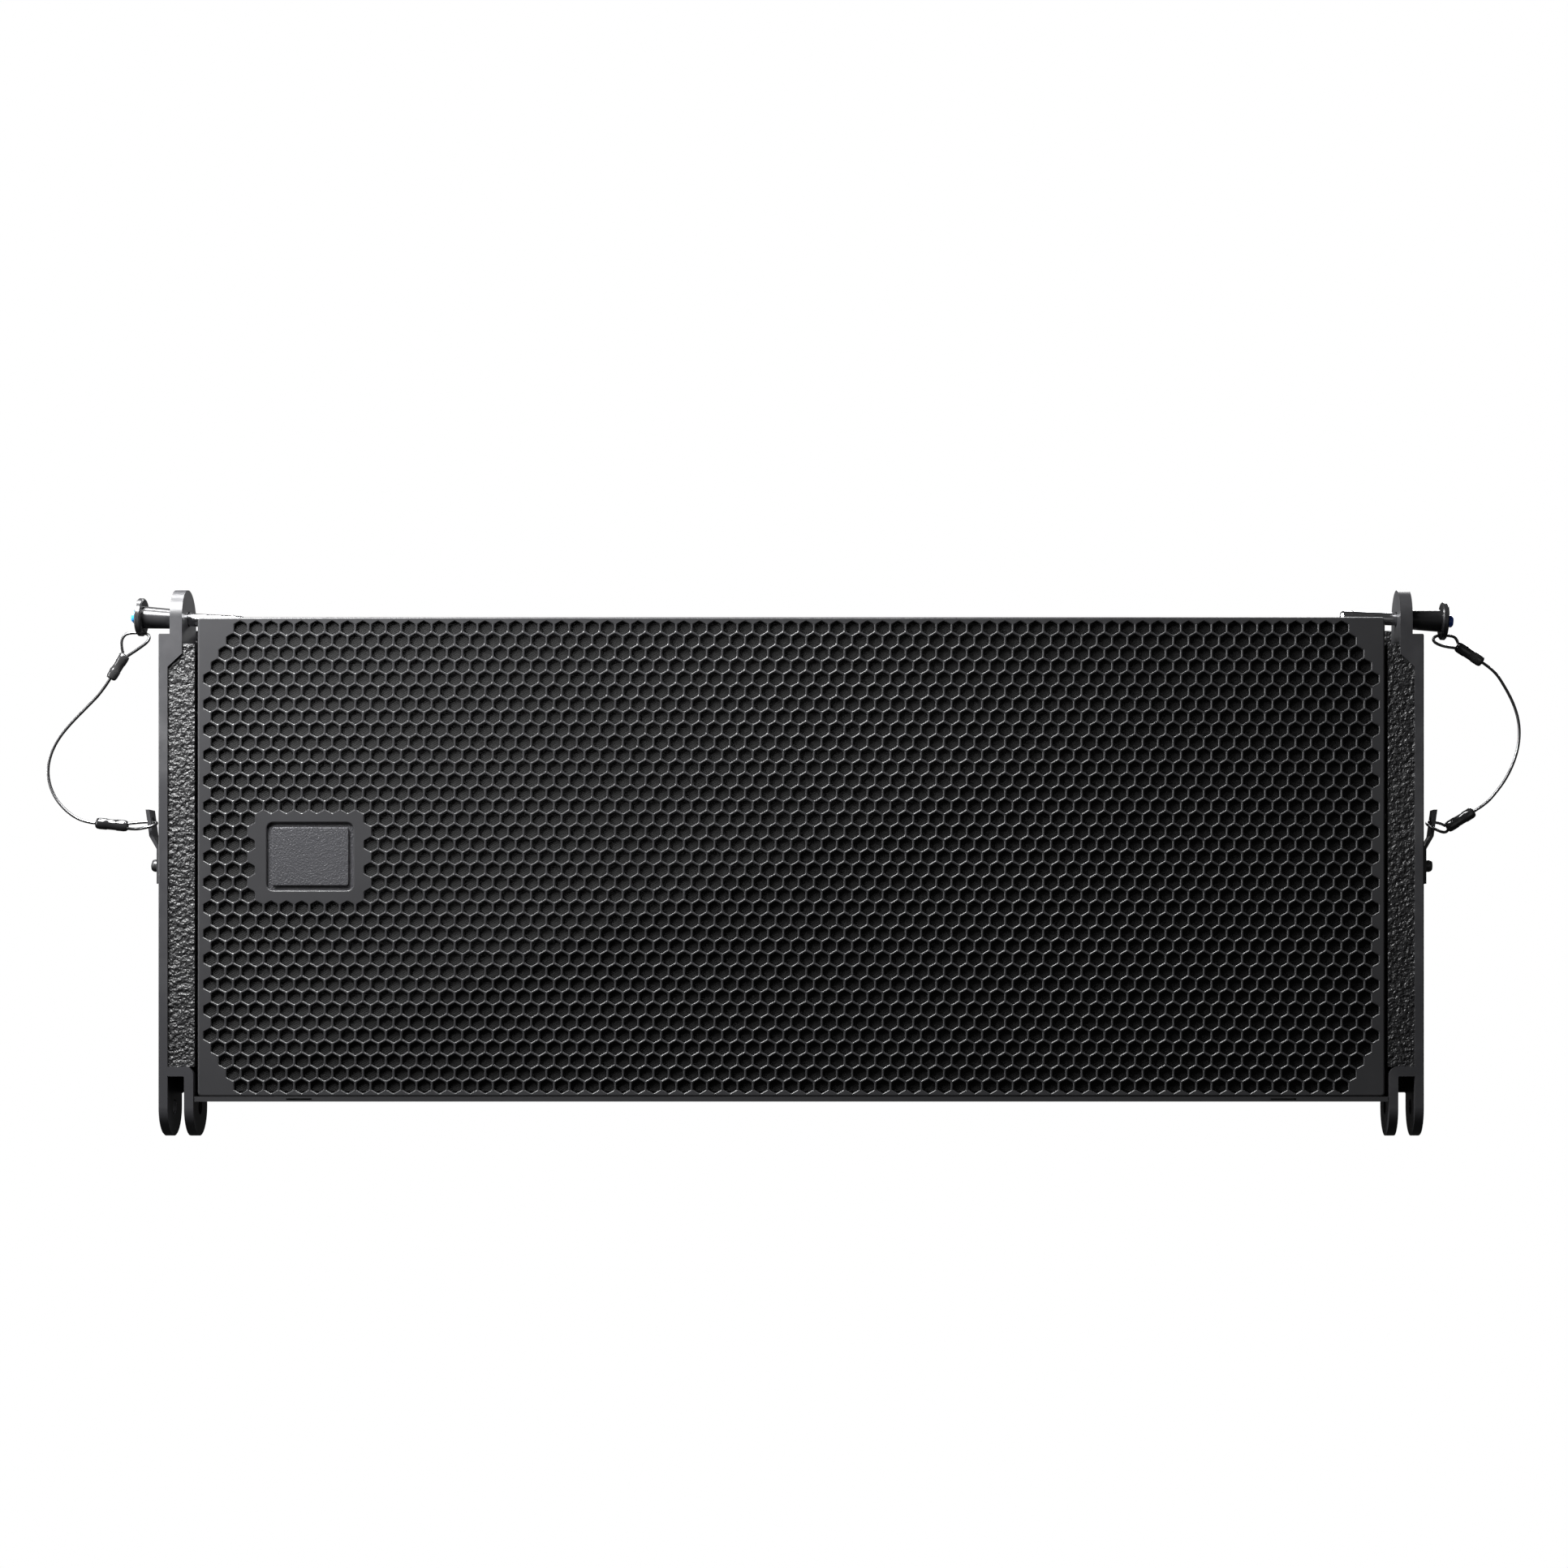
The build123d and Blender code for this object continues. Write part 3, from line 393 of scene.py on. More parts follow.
def noise(tree, vector, scale, detail=3.0, roughness=0.55):
    node = tree.nodes.new("ShaderNodeTexNoise")
    node.inputs["Detail"].default_value = detail
    node.inputs["Roughness"].default_value = roughness
    wire(tree, vector, node.inputs["Vector"])
    if isinstance(scale, (int, float)):
        node.inputs["Scale"].default_value = scale
    else:
        wire(tree, scale, node.inputs["Scale"])
    return node.outputs["Fac"]


# %% The grain and handling groups
grain_group, entry, leave = effect_group("grain", {"Scale": 900.0, "Sharpness": 2.0},
                                         ["Height", "Mask"])
fine = noise(grain_group, entry.outputs["Vector"], entry.outputs["Scale"], 2.5, 0.5)
centred = maths(grain_group, "SUBTRACT", fine, 0.5)
sharp = maths(grain_group, "MULTIPLY_ADD", centred, entry.outputs["Sharpness"], 0.5)
wire(grain_group, maths(grain_group, "MINIMUM", maths(grain_group, "MAXIMUM", sharp, 0), 1),
     leave.inputs["Height"])
wire(grain_group, fine, leave.inputs["Mask"])

handling_group, entry, leave = effect_group("handling", {"Scale": 14.0, "Amount": 0.3}, ["Mask"])
PATCH_START = 0.42    # patches appear where the wide noise is above this
PATCH_GAIN = 12.0
SPECK_SCALE = 160.0
wide = noise(handling_group, entry.outputs["Vector"], entry.outputs["Scale"], 5.0, 0.65)
specks = noise(handling_group, entry.outputs["Vector"], SPECK_SCALE, 3.0, 0.6)
patches = maths(handling_group, "MAXIMUM", maths(handling_group, "SUBTRACT", wide, PATCH_START), 0)
mixed = maths(handling_group, "MULTIPLY", patches, specks)
gain = maths(handling_group, "MULTIPLY", entry.outputs["Amount"], PATCH_GAIN)
strength = maths(handling_group, "MULTIPLY", mixed, gain)
wire(handling_group, maths(handling_group, "MINIMUM", strength, 1), leave.inputs["Mask"])


def finish(name, base, worn, rough, grain_scale=900.0, sharpness=2.0, bump=0.2, depth=0.1 * MM,
           metal=0.0, amount=0.3, rough_spread=0.12, coat=0.0):
    """A painted, moulded or metal surface with grain in its height and handling in its colour."""
    look = bpy.data.materials.new(name)
    look.use_nodes = True
    tree = look.node_tree
    shader = tree.nodes["Principled BSDF"]
    shader.inputs["Metallic"].default_value = metal
    shader.inputs["Coat Weight"].default_value = coat
    place = tree.nodes.new("ShaderNodeTexCoord")
    grain = tree.nodes.new("ShaderNodeGroup")
    grain.node_tree = grain_group
    grain.inputs["Scale"].default_value = grain_scale
    grain.inputs["Sharpness"].default_value = sharpness
    hands = tree.nodes.new("ShaderNodeGroup")
    hands.node_tree = handling_group
    hands.inputs["Amount"].default_value = amount
    for group in (grain, hands):
        wire(tree, place.outputs["Object"], group.inputs["Vector"])
    mix = tree.nodes.new("ShaderNodeMix")
    mix.data_type = "RGBA"
    mix.inputs["A"].default_value = (*base, 1)
    mix.inputs["B"].default_value = (*worn, 1)
    wire(tree, hands.outputs["Mask"], mix.inputs["Factor"])
    wire(tree, mix.outputs["Result"], shader.inputs["Base Color"])
    wire(tree, maths(tree, "MULTIPLY_ADD", grain.outputs["Mask"], rough_spread,
                     rough - rough_spread / 2), shader.inputs["Roughness"])
    relief = tree.nodes.new("ShaderNodeBump")
    relief.inputs["Strength"].default_value = bump
    relief.inputs["Distance"].default_value = depth
    wire(tree, grain.outputs["Height"], relief.inputs["Height"])
    wire(tree, relief.outputs["Normal"], shader.inputs["Normal"])
    return look


# %% [markdown]
# ## Finishes
# The box is sprayed with a thick rubbery coating whose hard little peaks catch the light. The
# steel is powder coated, which is smoother, with a satin gloss. Pins are bare ground steel. Each
# line gives a colour, the colour where it is handled, and a roughness. Then come the grain's scale,
# its sharpness, and the strength and depth of its bump.

# %% Materials for the solid pieces
looks = {
    "textured_black": finish("textured_black", (0.016, 0.016, 0.017), (0.03, 0.03, 0.031), 0.36,
                             500.0, 2.3, 1.0, 0.85 * MM, amount=0.2),
    "baffle_ply": finish("baffle_ply", (0.03, 0.028, 0.026), (0.05, 0.045, 0.04), 0.7, 300.0),
    "grille_steel": finish("grille_steel", (0.030, 0.030, 0.032), (0.048, 0.048, 0.050), 0.33,
                           2600.0, 2.0, 0.22, 0.05 * MM, amount=0.2),
    "badge_plate": finish("badge_plate", (0.050, 0.050, 0.055), (0.075, 0.075, 0.08), 0.36,
                          1500.0, 3.0, 0.8, 0.12 * MM, metal=0.2, amount=0.15),
    "rigging_steel": finish("rigging_steel", (0.032, 0.032, 0.035), (0.07, 0.07, 0.073), 0.38,
                            1900.0, 2.0, 0.25, 0.06 * MM, amount=0.45),
    "black_screw": finish("black_screw", (0.05, 0.05, 0.052), (0.25, 0.25, 0.25), 0.35, 1200.0, 2.0,
                          0.1, 0.03 * MM, metal=0.6, amount=0.5),
    "pin_steel": finish("pin_steel", (0.66, 0.66, 0.68), (0.5, 0.5, 0.5), 0.20, 1500.0, 1.5, 0.05,
                        0.02 * MM, metal=1.0, amount=0.3, rough_spread=0.1),
    "pin_grip_black": finish("pin_grip_black", (0.022, 0.022, 0.024), (0.07, 0.07, 0.07), 0.24, 1500.0,
                             1.5, 0.06, 0.02 * MM, metal=0.2, amount=0.4),
    # The two buttons are the same blue plastic. The left one's colours are painted paler (painted
    # light) and the right one's deeper (painted shade), following the key lamp on the upper left.
    "left_button_blue": finish("left_button_blue", (0.035, 0.38, 0.90), (0.06, 0.42, 0.85), 0.28,
                               900.0, 1.5, 0.04, 0.02 * MM, coat=0.4),
    "right_button_blue": finish("right_button_blue", (0.010, 0.10, 0.62), (0.02, 0.13, 0.6), 0.28,
                                900.0, 1.5, 0.04, 0.02 * MM, coat=0.4),
    "lanyard_metal": finish("lanyard_metal", (0.20, 0.20, 0.205), (0.12, 0.12, 0.12), 0.30, 2500.0,
                            2.0, 0.1, 0.03 * MM, metal=1.0, amount=0.6),
    "horn_plastic": finish("horn_plastic", (0.03, 0.03, 0.03), (0.05, 0.05, 0.05), 0.5),
    "driver_steel": finish("driver_steel", (0.05, 0.05, 0.05), (0.1, 0.1, 0.1), 0.4),
    "circuit_board": finish("circuit_board", (0.03, 0.12, 0.06), (0.05, 0.16, 0.09), 0.45),
    "panel_steel": finish("panel_steel", (0.040, 0.040, 0.043), (0.08, 0.08, 0.085), 0.42, 1900.0, 2.0,
                          0.3, 0.06 * MM, amount=0.4),
    "socket_plastic": finish("socket_plastic", (0.018, 0.018, 0.020), (0.05, 0.05, 0.05), 0.38,
                             1500.0, 1.5, 0.1, 0.03 * MM),
    "basket_metal": finish("basket_metal", (0.10, 0.10, 0.10), (0.16, 0.16, 0.16), 0.45, metal=0.4),
    "motor_iron": finish("motor_iron", (0.14, 0.14, 0.14), (0.2, 0.2, 0.2), 0.4, metal=0.8),
    "cone_paper": finish("cone_paper", (0.035, 0.035, 0.035), (0.05, 0.05, 0.05), 0.7, 400.0, 3.0,
                         0.4, 0.2 * MM),
    "surround_rubber": finish("surround_rubber", (0.02, 0.02, 0.02), (0.03, 0.03, 0.03), 0.6),
    "spider_cloth": finish("spider_cloth", (0.42, 0.28, 0.12), (0.5, 0.34, 0.17), 0.8, 1200.0, 3.0,
                           0.5, 0.2 * MM),
    "handle_plastic": finish("handle_plastic", (0.028, 0.028, 0.029), (0.06, 0.06, 0.06), 0.46,
                             1300.0, 2.0, 0.35, 0.08 * MM, amount=0.4),
}
sleeve_look = finish("crimp_black", (0.012, 0.012, 0.013), (0.05, 0.05, 0.05), 0.16, 1400.0, 2.0,
                     0.08, 0.03 * MM, metal=0.1, amount=0.5, coat=0.6)
for piece in metal_pieces:
    use_material(piece, looks["lanyard_metal"])
for piece in sleeve_pieces:
    use_material(piece, sleeve_look)
slot_of = {row["node"]: row["material_slot"] for row in frame["record"]["subparts"]}
for node, piece in nodes.items():
    if slot_of[node] in looks:
        use_material(piece, looks[slot_of[node]])
print(len(looks), "finishes")

# %% [markdown]
# ## Grille
# The real grille is one sheet of steel, 1.5 mm thick, punched with thousands of small hexagons and
# then folded back at its edges into a tray. The die leaves a rounded lip on the front of each hole,
# and that lip is what shines. A boolean for each hole would be slow and fragile, so Geometry Nodes
# lay out the rows, fill the sheet between the outlines of the holes, and set one small lip and wall
# in each hole.

# %% Sizes of the punched sheet
PITCH = 7.495 * MM
ROW = 6.24 * MM
ROWS = 37
HOLE_W = 6.4 * MM
CORNER_CUT = 0.45 * MM
LIP = 0.32 * MM
LIP_DEPTH = 0.26 * MM
SHEET = 1.5 * MM
TALL = ROW / (PITCH * math.sqrt(3) / 2)
FOLD_R = 1.1 * MM
CORNER_R = 2.0 * MM
SMALLEST_R = 0.4 * MM
TOP_ROW_Z = -5.8 * MM
FIELD_CENTRE_Z = TOP_ROW_Z - ROW * (ROWS - 1) / 2
WELD = 0.004 * MM
sheet_y = grille_low[1]


def hexagon(width, cut=0.0):
    """Corners of an upright hexagon, or twelve points when its corners are cut."""
    half, quarter, tip = width / 2, width / (2 * math.sqrt(3)) * TALL, width / math.sqrt(3) * TALL
    corners = [Vector((half, -quarter, 0)), Vector((half, quarter, 0)), Vector((0, tip, 0)),
               Vector((-half, quarter, 0)), Vector((-half, -quarter, 0)), Vector((0, -tip, 0))]
    if not cut:
        return corners
    points = []
    for i, corner in enumerate(corners):
        for other in (corners[i - 1], corners[(i + 1) % 6]):
            points.append(corner + (other - corner).normalized() * cut)
    return points


def rounded_outline(x0, x1, z0, z1, radius, extra_x=(), extra_z=()):
    """A rounded rectangle, anticlockwise from the lower left, with extra points on its sides."""
    points = []
    for cx, cz, start in ((x1, z0, -90), (x1, z1, 0), (x0, z1, 90), (x0, z0, 180)):
        sx, sz = (1 if cx == x1 else -1), (1 if cz == z1 else -1)
        for step in range(5):
            angle = math.radians(start + 22.5 * step)
            points.append((cx - sx * radius + radius * math.cos(angle),
                           cz - sz * radius + radius * math.sin(angle)))
        if start == -90:
            points += [(x1, z) for z in sorted(extra_z)]
        if start == 0:
            points += [(x, z1) for x in sorted(extra_x, reverse=True)]
        if start == 90:
            points += [(x0, z) for z in sorted(extra_z, reverse=True)]
    return points


def poly_curve(name, loops):
    """A flat curve object of closed straight loops."""
    data = bpy.data.curves.new(name, "CURVE")
    data.dimensions = "2D"
    data.fill_mode = "NONE"
    for loop in loops:
        spline = data.splines.new("POLY")
        spline.points.add(len(loop) - 1)
        for place, point in zip(spline.points, loop):
            place.co = (point[0], point[1], 0, 1)
        spline.use_cyclic_u = True
    return link(name, data)


# %% The lip and wall of one hole
outer_hex = hexagon(HOLE_W + 2 * LIP)
inner_hex = hexagon(HOLE_W, CORNER_CUT)
lip_verts = list(outer_hex)
lip_verts += [point - Vector((0, 0, LIP_DEPTH)) for point in inner_hex]
lip_verts += [point - Vector((0, 0, SHEET)) for point in inner_hex]
lip_faces = []
for i in range(6):
    first, second = 6 + 2 * i, 7 + 2 * i
    following = 6 + (2 * i + 2) % 12
    lip_faces.append((i, first, second))
    lip_faces.append((i, second, following, (i + 1) % 6))
for k in range(12):
    lip_faces.append((6 + k, 18 + k, 18 + (k + 1) % 12, 6 + (k + 1) % 12))
hole_lip = mesh_object("hole_lip", lip_verts, lip_faces)

# %% The folded edge of the tray, and the badge window
badge_low, badge_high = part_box("badge")
WINDOW_W, WINDOW_H, WINDOW_R, WINDOW_LIP = 42.3 * MM, 33.2 * MM, 3.0 * MM, 0.7 * MM
NOTCH_X, NOTCH_Z, NOTCH_BACK, STEP = 262.5 * MM, -13.5 * MM, 8.0 * MM, 0.05 * MM
badge_x = (badge_low[0] + badge_high[0]) / 2
badge_z = (badge_low[2] + badge_high[2]) / 2
tray_depth = grille_high[1] - grille_low[1]


def tray_ring(inset, depth):
    """One ring of the tray's edge; the flange is cut back at the pin notches."""
    extra_x = [s * (NOTCH_X + d) for s in (-1, 1) for d in (0, STEP)]
    extra_z = [NOTCH_Z, NOTCH_Z - STEP]
    ring = []
    radius = max(CORNER_R - inset, SMALLEST_R)
    outline = rounded_outline(grille_low[0] + inset, grille_high[0] - inset, grille_low[2] + inset,
                              grille_high[2] - inset, radius, extra_x, extra_z)
    for x, z in outline:
        in_notch = abs(x) > NOTCH_X + STEP / 2 and z > NOTCH_Z - STEP / 2
        ring.append(Vector((x, z, -min(depth, NOTCH_BACK) if in_notch else -depth)))
    return ring


fold = [(FOLD_R * (1 - math.sin(a)), FOLD_R * (1 - math.cos(a)))
        for a in (math.radians(15 * k) for k in range(7))]
rings = [tray_ring(inset, depth) for inset, depth in fold]
rings += [tray_ring(0, tray_depth), tray_ring(SHEET, tray_depth), tray_ring(SHEET, SHEET)]
tray_edge = strips("tray_edge", rings)


def window_ring(grow, depth):
    outline = rounded_outline(badge_x - WINDOW_W / 2 - grow, badge_x + WINDOW_W / 2 + grow,
                              badge_z - WINDOW_H / 2 - grow, badge_z + WINDOW_H / 2 + grow,
                              WINDOW_R + grow)
    return [Vector((x, z, -depth)) for x, z in outline]


lip_steps = [(WINDOW_LIP * (1 - math.sin(a)), WINDOW_LIP * (1 - math.cos(a)))
             for a in (math.radians(22.5 * k) for k in range(5))]
window_rings = [window_ring(grow, depth) for grow, depth in lip_steps] + [window_ring(0, SHEET)]
window_edge = strips("window_edge", window_rings)
front_outline = poly_curve("front_outline", [tray_ring(FOLD_R, 0), window_ring(WINDOW_LIP, 0)])
back_outline = poly_curve("back_outline", [tray_ring(SHEET, SHEET), window_ring(0, SHEET)])
outer_outline = poly_curve("outer_outline", [outer_hex])
inner_outline = poly_curve("inner_outline", [inner_hex])

# %% [markdown]
# The tree first lays a plain grid with one point for each hole. Every second row moves half a
# pitch. A row keeps fewer holes near the top and bottom, which leaves the four corners of the sheet
# plain, and the rows beside the badge leave it room.


# %% Geometry Nodes helpers
def node_tree(name, inputs):
    """A Geometry Nodes tree with named inputs; returns the tree, its entry and its exit."""
    tree = bpy.data.node_groups.new(name, "GeometryNodeTree")
    tree.interface.new_socket("Geometry", in_out="INPUT", socket_type="NodeSocketGeometry")
    for label, kind, value in inputs:
        made = tree.interface.new_socket(label, in_out="INPUT", socket_type=f"NodeSocket{kind}")
        if value is not None:
            made.default_value = value
    tree.interface.new_socket("Geometry", in_out="OUTPUT", socket_type="NodeSocketGeometry")
    return tree, tree.nodes.new("NodeGroupInput"), tree.nodes.new("NodeGroupOutput")


def add(tree, kind, links=(), **values):
    """A node with some inputs linked and some of its own settings made."""
    node = tree.nodes.new(kind)
    for label, value in values.items():
        setattr(node, label, value)
    for label, source in dict(links).items():
        if isinstance(source, bpy.types.NodeSocket):
            wire(tree, source, node.inputs[label])
        else:
            node.inputs[label].default_value = source
    return node


def run_tree(name, tree, values, start=None):
    """Runs a tree on a mesh, or on none, and returns the result as a plain mesh object."""
    holder = link("holder", start or bpy.data.meshes.new("holder"))
    modifier = holder.modifiers.new("nodes", "NODES")
    modifier.node_group = tree
    for item in tree.interface.items_tree:
        if item.in_out == "INPUT" and item.name in values:
            modifier[item.identifier] = values[item.name]
    bpy.context.view_layer.update()
    result = holder.evaluated_get(bpy.context.evaluated_depsgraph_get())
    mesh = bpy.data.meshes.new_from_object(result)
    holder.modifiers.remove(modifier)
    bpy.data.objects.remove(holder)
    mesh.name = name
    return link(name, mesh)


# %% The tree that punches the sheet
punch, entry, leave = node_tree("punched_sheet", [
    ("Pitch", "Float", PITCH), ("Row", "Float", ROW), ("Thickness", "Float", SHEET),
    ("Lip", "Object", None), ("Hole Outline", "Object", None),
    ("Back Hole Outline", "Object", None), ("Sheet Outline", "Object", None),
    ("Back Outline", "Object", None), ("Tray Edge", "Object", None),
    ("Window Edge", "Object", None), ("Material", "Material", None)])
pitch, row = entry.outputs["Pitch"], entry.outputs["Row"]
COLUMNS = 77
FULL_REACH = (COLUMNS - 1) / 2       # pitches from the middle to the last hole of a full row
END_REACH = 36.0                     # the same for the top and bottom rows
BADGE_ROW, BADGE_ROWS = 18.0, 3.2            # rows beside the badge: the middle one, and how far
BADGE_COLUMN, BADGE_COLUMNS = -31.5, 3.7     # and the same across
grid = add(punch, "GeometryNodeMeshGrid", {
    "Size X": maths(punch, "MULTIPLY", pitch, COLUMNS - 1.0),
    "Size Y": maths(punch, "MULTIPLY", row, ROWS - 1.0),
    "Vertices X": COLUMNS, "Vertices Y": ROWS})
position = add(punch, "GeometryNodeInputPosition")
where = add(punch, "ShaderNodeSeparateXYZ", {"Vector": position.outputs[0]})
row_index = maths(punch, "ROUND", maths(punch, "SUBTRACT", (ROWS - 1) / 2.0,
                                        maths(punch, "DIVIDE", where.outputs["Y"], row)))
odd = maths(punch, "MODULO", row_index, 2.0)
step_aside = add(punch, "ShaderNodeCombineXYZ", {
    "X": maths(punch, "MULTIPLY", maths(punch, "MULTIPLY", odd, 0.5), pitch)})
laid = add(punch, "GeometryNodeSetPosition", {
    "Geometry": grid.outputs["Mesh"], "Offset": step_aside.outputs[0]})
column = maths(punch, "DIVIDE", where.outputs["X"], pitch)
rows_below = maths(punch, "SUBTRACT", ROWS - 1.0, row_index)
from_top = maths(punch, "MULTIPLY_ADD", row_index, 0.5, END_REACH)
from_bottom = maths(punch, "MULTIPLY_ADD", rows_below, 0.5, END_REACH)
widest = maths(punch, "MULTIPLY_ADD", odd, -0.5, FULL_REACH)
reach = maths(punch, "MINIMUM", widest, maths(punch, "MINIMUM", from_top, from_bottom))
too_far = maths(punch, "GREATER_THAN", maths(punch, "ABSOLUTE", column),
                maths(punch, "ADD", reach, 0.1))
beside_badge = maths(punch, "MULTIPLY",
                     maths(punch, "COMPARE", row_index, BADGE_ROW, BADGE_ROWS),
                     maths(punch, "COMPARE", column, BADGE_COLUMN, BADGE_COLUMNS))
drop = maths(punch, "MAXIMUM", too_far, beside_badge)
kept = add(punch, "GeometryNodeDeleteGeometry", {
    "Geometry": laid.outputs["Geometry"], "Selection": drop}, domain="POINT")


def object_shape(label):
    return add(punch, "GeometryNodeObjectInfo", {"Object": entry.outputs[label]}).outputs["Geometry"]


def at_holes(shape):
    stamped = add(punch, "GeometryNodeInstanceOnPoints", {
        "Points": kept.outputs["Geometry"], "Instance": shape})
    return add(punch, "GeometryNodeRealizeInstances", {"Geometry": stamped.outputs[0]}).outputs[0]


def in_place(shape):
    """The hole field is laid about its own middle, so it moves up or down to its rows."""
    move = add(punch, "ShaderNodeCombineXYZ", {"Y": FIELD_CENTRE_Z})
    return add(punch, "GeometryNodeTransform", {
        "Geometry": shape, "Translation": move.outputs[0]}).outputs[0]


def joined(*shapes):
    node = punch.nodes.new("GeometryNodeJoinGeometry")
    for shape in shapes:
        wire(punch, shape, node.inputs[0])
    return node.outputs[0]


def filled(*curves):
    return add(punch, "GeometryNodeFillCurve", {"Curve": joined(*curves)}).outputs[0]


front_holes = in_place(at_holes(object_shape("Hole Outline")))
front = filled(front_holes, object_shape("Sheet Outline"))
back_holes = in_place(at_holes(object_shape("Back Hole Outline")))
back_flat = filled(back_holes, object_shape("Back Outline"))
back_down = add(punch, "ShaderNodeCombineXYZ", {
    "Z": maths(punch, "MULTIPLY", entry.outputs["Thickness"], -1.0)})
back = add(punch, "GeometryNodeTransform", {"Geometry": back_flat, "Translation": back_down.outputs[0]})
back_turned = add(punch, "GeometryNodeFlipFaces", {"Mesh": back.outputs[0]})
lips = in_place(at_holes(object_shape("Lip")))
whole = joined(front, back_turned.outputs[0], lips, object_shape("Tray Edge"),
               object_shape("Window Edge"))
upright = add(punch, "GeometryNodeTransform", {
    "Geometry": whole, "Rotation": (math.radians(90), 0, 0), "Translation": (0, sheet_y, 0)})
welded = add(punch, "GeometryNodeMergeByDistance", {
    "Geometry": upright.outputs[0], "Distance": WELD})
plain = add(punch, "GeometryNodeRealizeInstances", {"Geometry": welded.outputs[0]})
painted = add(punch, "GeometryNodeSetMaterial", {
    "Geometry": plain.outputs[0], "Material": entry.outputs["Material"]})
wire(punch, painted.outputs[0], leave.inputs[0])

# %% Run the tree
grille = run_tree("punched_grille", punch, {
    "Lip": hole_lip, "Hole Outline": outer_outline, "Back Hole Outline": inner_outline,
    "Sheet Outline": front_outline, "Back Outline": back_outline, "Tray Edge": tray_edge,
    "Window Edge": window_edge, "Material": looks["grille_steel"]})
for helper in (hole_lip, tray_edge, window_edge, outer_outline, inner_outline, front_outline,
               back_outline):
    bpy.data.objects.remove(helper)
work = bmesh.new()
work.from_mesh(grille.data)
open_edges = sum(1 for edge in work.edges if len(edge.link_faces) != 2)
bmesh.ops.recalc_face_normals(work, faces=work.faces)
work.to_mesh(grille.data)
work.free()
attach(grille, "root")
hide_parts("grille")
triangles = sum(len(face.vertices) - 2 for face in grille.data.polygons)
print("grille triangles", triangles, "open edges", open_edges)

# %% [markdown]
# ## Screws
# The plates are held by button-head screws with a hexagon socket. The CAD model has only their
# outline, so each one is replaced by a head with a real socket. The places are read from the loose
# solids of the CAD node, the sizes are given here, and one tree stands a screw on each place.


# %% A screw with a hexagon socket, and the tree that places it
def screw_mesh(name, head_h, shank_l, head_r, shank_r=2.5 * MM, socket_r=1.75 * MM, around=24):
    """A screw along +Z whose head stands on the origin; all faces closed."""
    profile = [(-shank_l, shank_r), (0, shank_r), (0, head_r), (head_h * 0.52, head_r),
               (head_h * 0.72, head_r * 0.95), (head_h * 0.9, head_r * 0.84),
               (head_h, head_r * 0.68)]
    turns = [2 * math.pi * k / around for k in range(around)]
    rings = [[Vector((r * math.cos(turn), r * math.sin(turn), z)) for turn in turns]
             for z, r in profile]
    for depth, size in ((0, 1.0), (0.12, 0.93), (0.62, 0.93)):
        ring = []
        for turn in turns:
            flat = math.cos(math.pi / 6) / math.cos((turn % (math.pi / 3)) - math.pi / 6)
            reach = socket_r * flat * size
            ring.append(Vector((reach * math.cos(turn), reach * math.sin(turn),
                                head_h * (1 - depth))))
        rings.append(ring)
    made = strips(name, rings, closed=True)
    tidy_normals(made)
    shade(made, 30)
    return made


def loose_boxes(piece):
    """Bounds of each loose solid of a CAD node."""
    work = bmesh.new()
    work.from_mesh(piece.data)
    bmesh.ops.remove_doubles(work, verts=work.verts, dist=1e-6)
    left, boxes = set(work.verts), []
    while left:
        island, waiting = set(), [left.pop()]
        while waiting:
            vert = waiting.pop()
            island.add(vert)
            for edge in vert.link_edges:
                other = edge.other_vert(vert)
                if other not in island:
                    island.add(other)
                    waiting.append(other)
        left -= island
        spots = [piece.matrix_world @ vert.co for vert in island]
        boxes.append(([min(s[i] for s in spots) for i in range(3)],
                      [max(s[i] for s in spots) for i in range(3)]))
    work.free()
    return boxes


stand, entry, leave = node_tree("standing_screws", [
    ("Screw", "Object", None), ("Material", "Material", None)])
turn = add(stand, "GeometryNodeInputNamedAttribute", {"Name": "turn"}, data_type="FLOAT_VECTOR")
screw_shape = add(stand, "GeometryNodeObjectInfo", {"Object": entry.outputs["Screw"]})
stood = add(stand, "GeometryNodeInstanceOnPoints", {
    "Points": entry.outputs["Geometry"], "Instance": screw_shape.outputs["Geometry"],
    "Rotation": turn.outputs["Attribute"]})
real = add(stand, "GeometryNodeRealizeInstances", {"Geometry": stood.outputs[0]})
dressed = add(stand, "GeometryNodeSetMaterial", {
    "Geometry": real.outputs[0], "Material": entry.outputs["Material"]})
wire(stand, dressed.outputs[0], leave.inputs[0])


def stand_screws(node, axis, head_h, shank_l, head_r, keep):
    """Stands new screws for those of a CAD node that the keep test picks, along X (0) or Y (1)."""
    master = screw_mesh("screw", head_h, shank_l, head_r)
    spots, turns = [], []
    for low, high in loose_boxes(nodes[node]):
        middle = [(a + b) / 2 for a, b in zip(low, high)]
        if not keep(middle):
            continue
        outward = 1 if axis == 1 or middle[0] > 0 else -1
        spot = list(middle)
        spot[axis] = (high[axis] if outward > 0 else low[axis]) - outward * head_h
        spots.append(spot)
        turns.append((0, outward * math.pi / 2, 0) if axis == 0 else (-math.pi / 2, 0, 0))
    holder_mesh = bpy.data.meshes.new("screw_places")
    holder_mesh.from_pydata(spots, [], [])
    layer = holder_mesh.attributes.new("turn", "FLOAT_VECTOR", "POINT")
    for place, value in zip(layer.data, turns):
        place.vector = value
    made = run_tree(f"{node}_{len(spots)}", stand,
                    {"Screw": master, "Material": looks["black_screw"]}, holder_mesh)
    bpy.data.objects.remove(master)
    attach(made, "root")
    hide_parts(node)
    print(node, len(spots), "screws", [round(v / MM, 1) for v in spots[0]])
    return made


# %% Stand the screws
EYELET_Z, NEAR = -122 * MM, 2 * MM


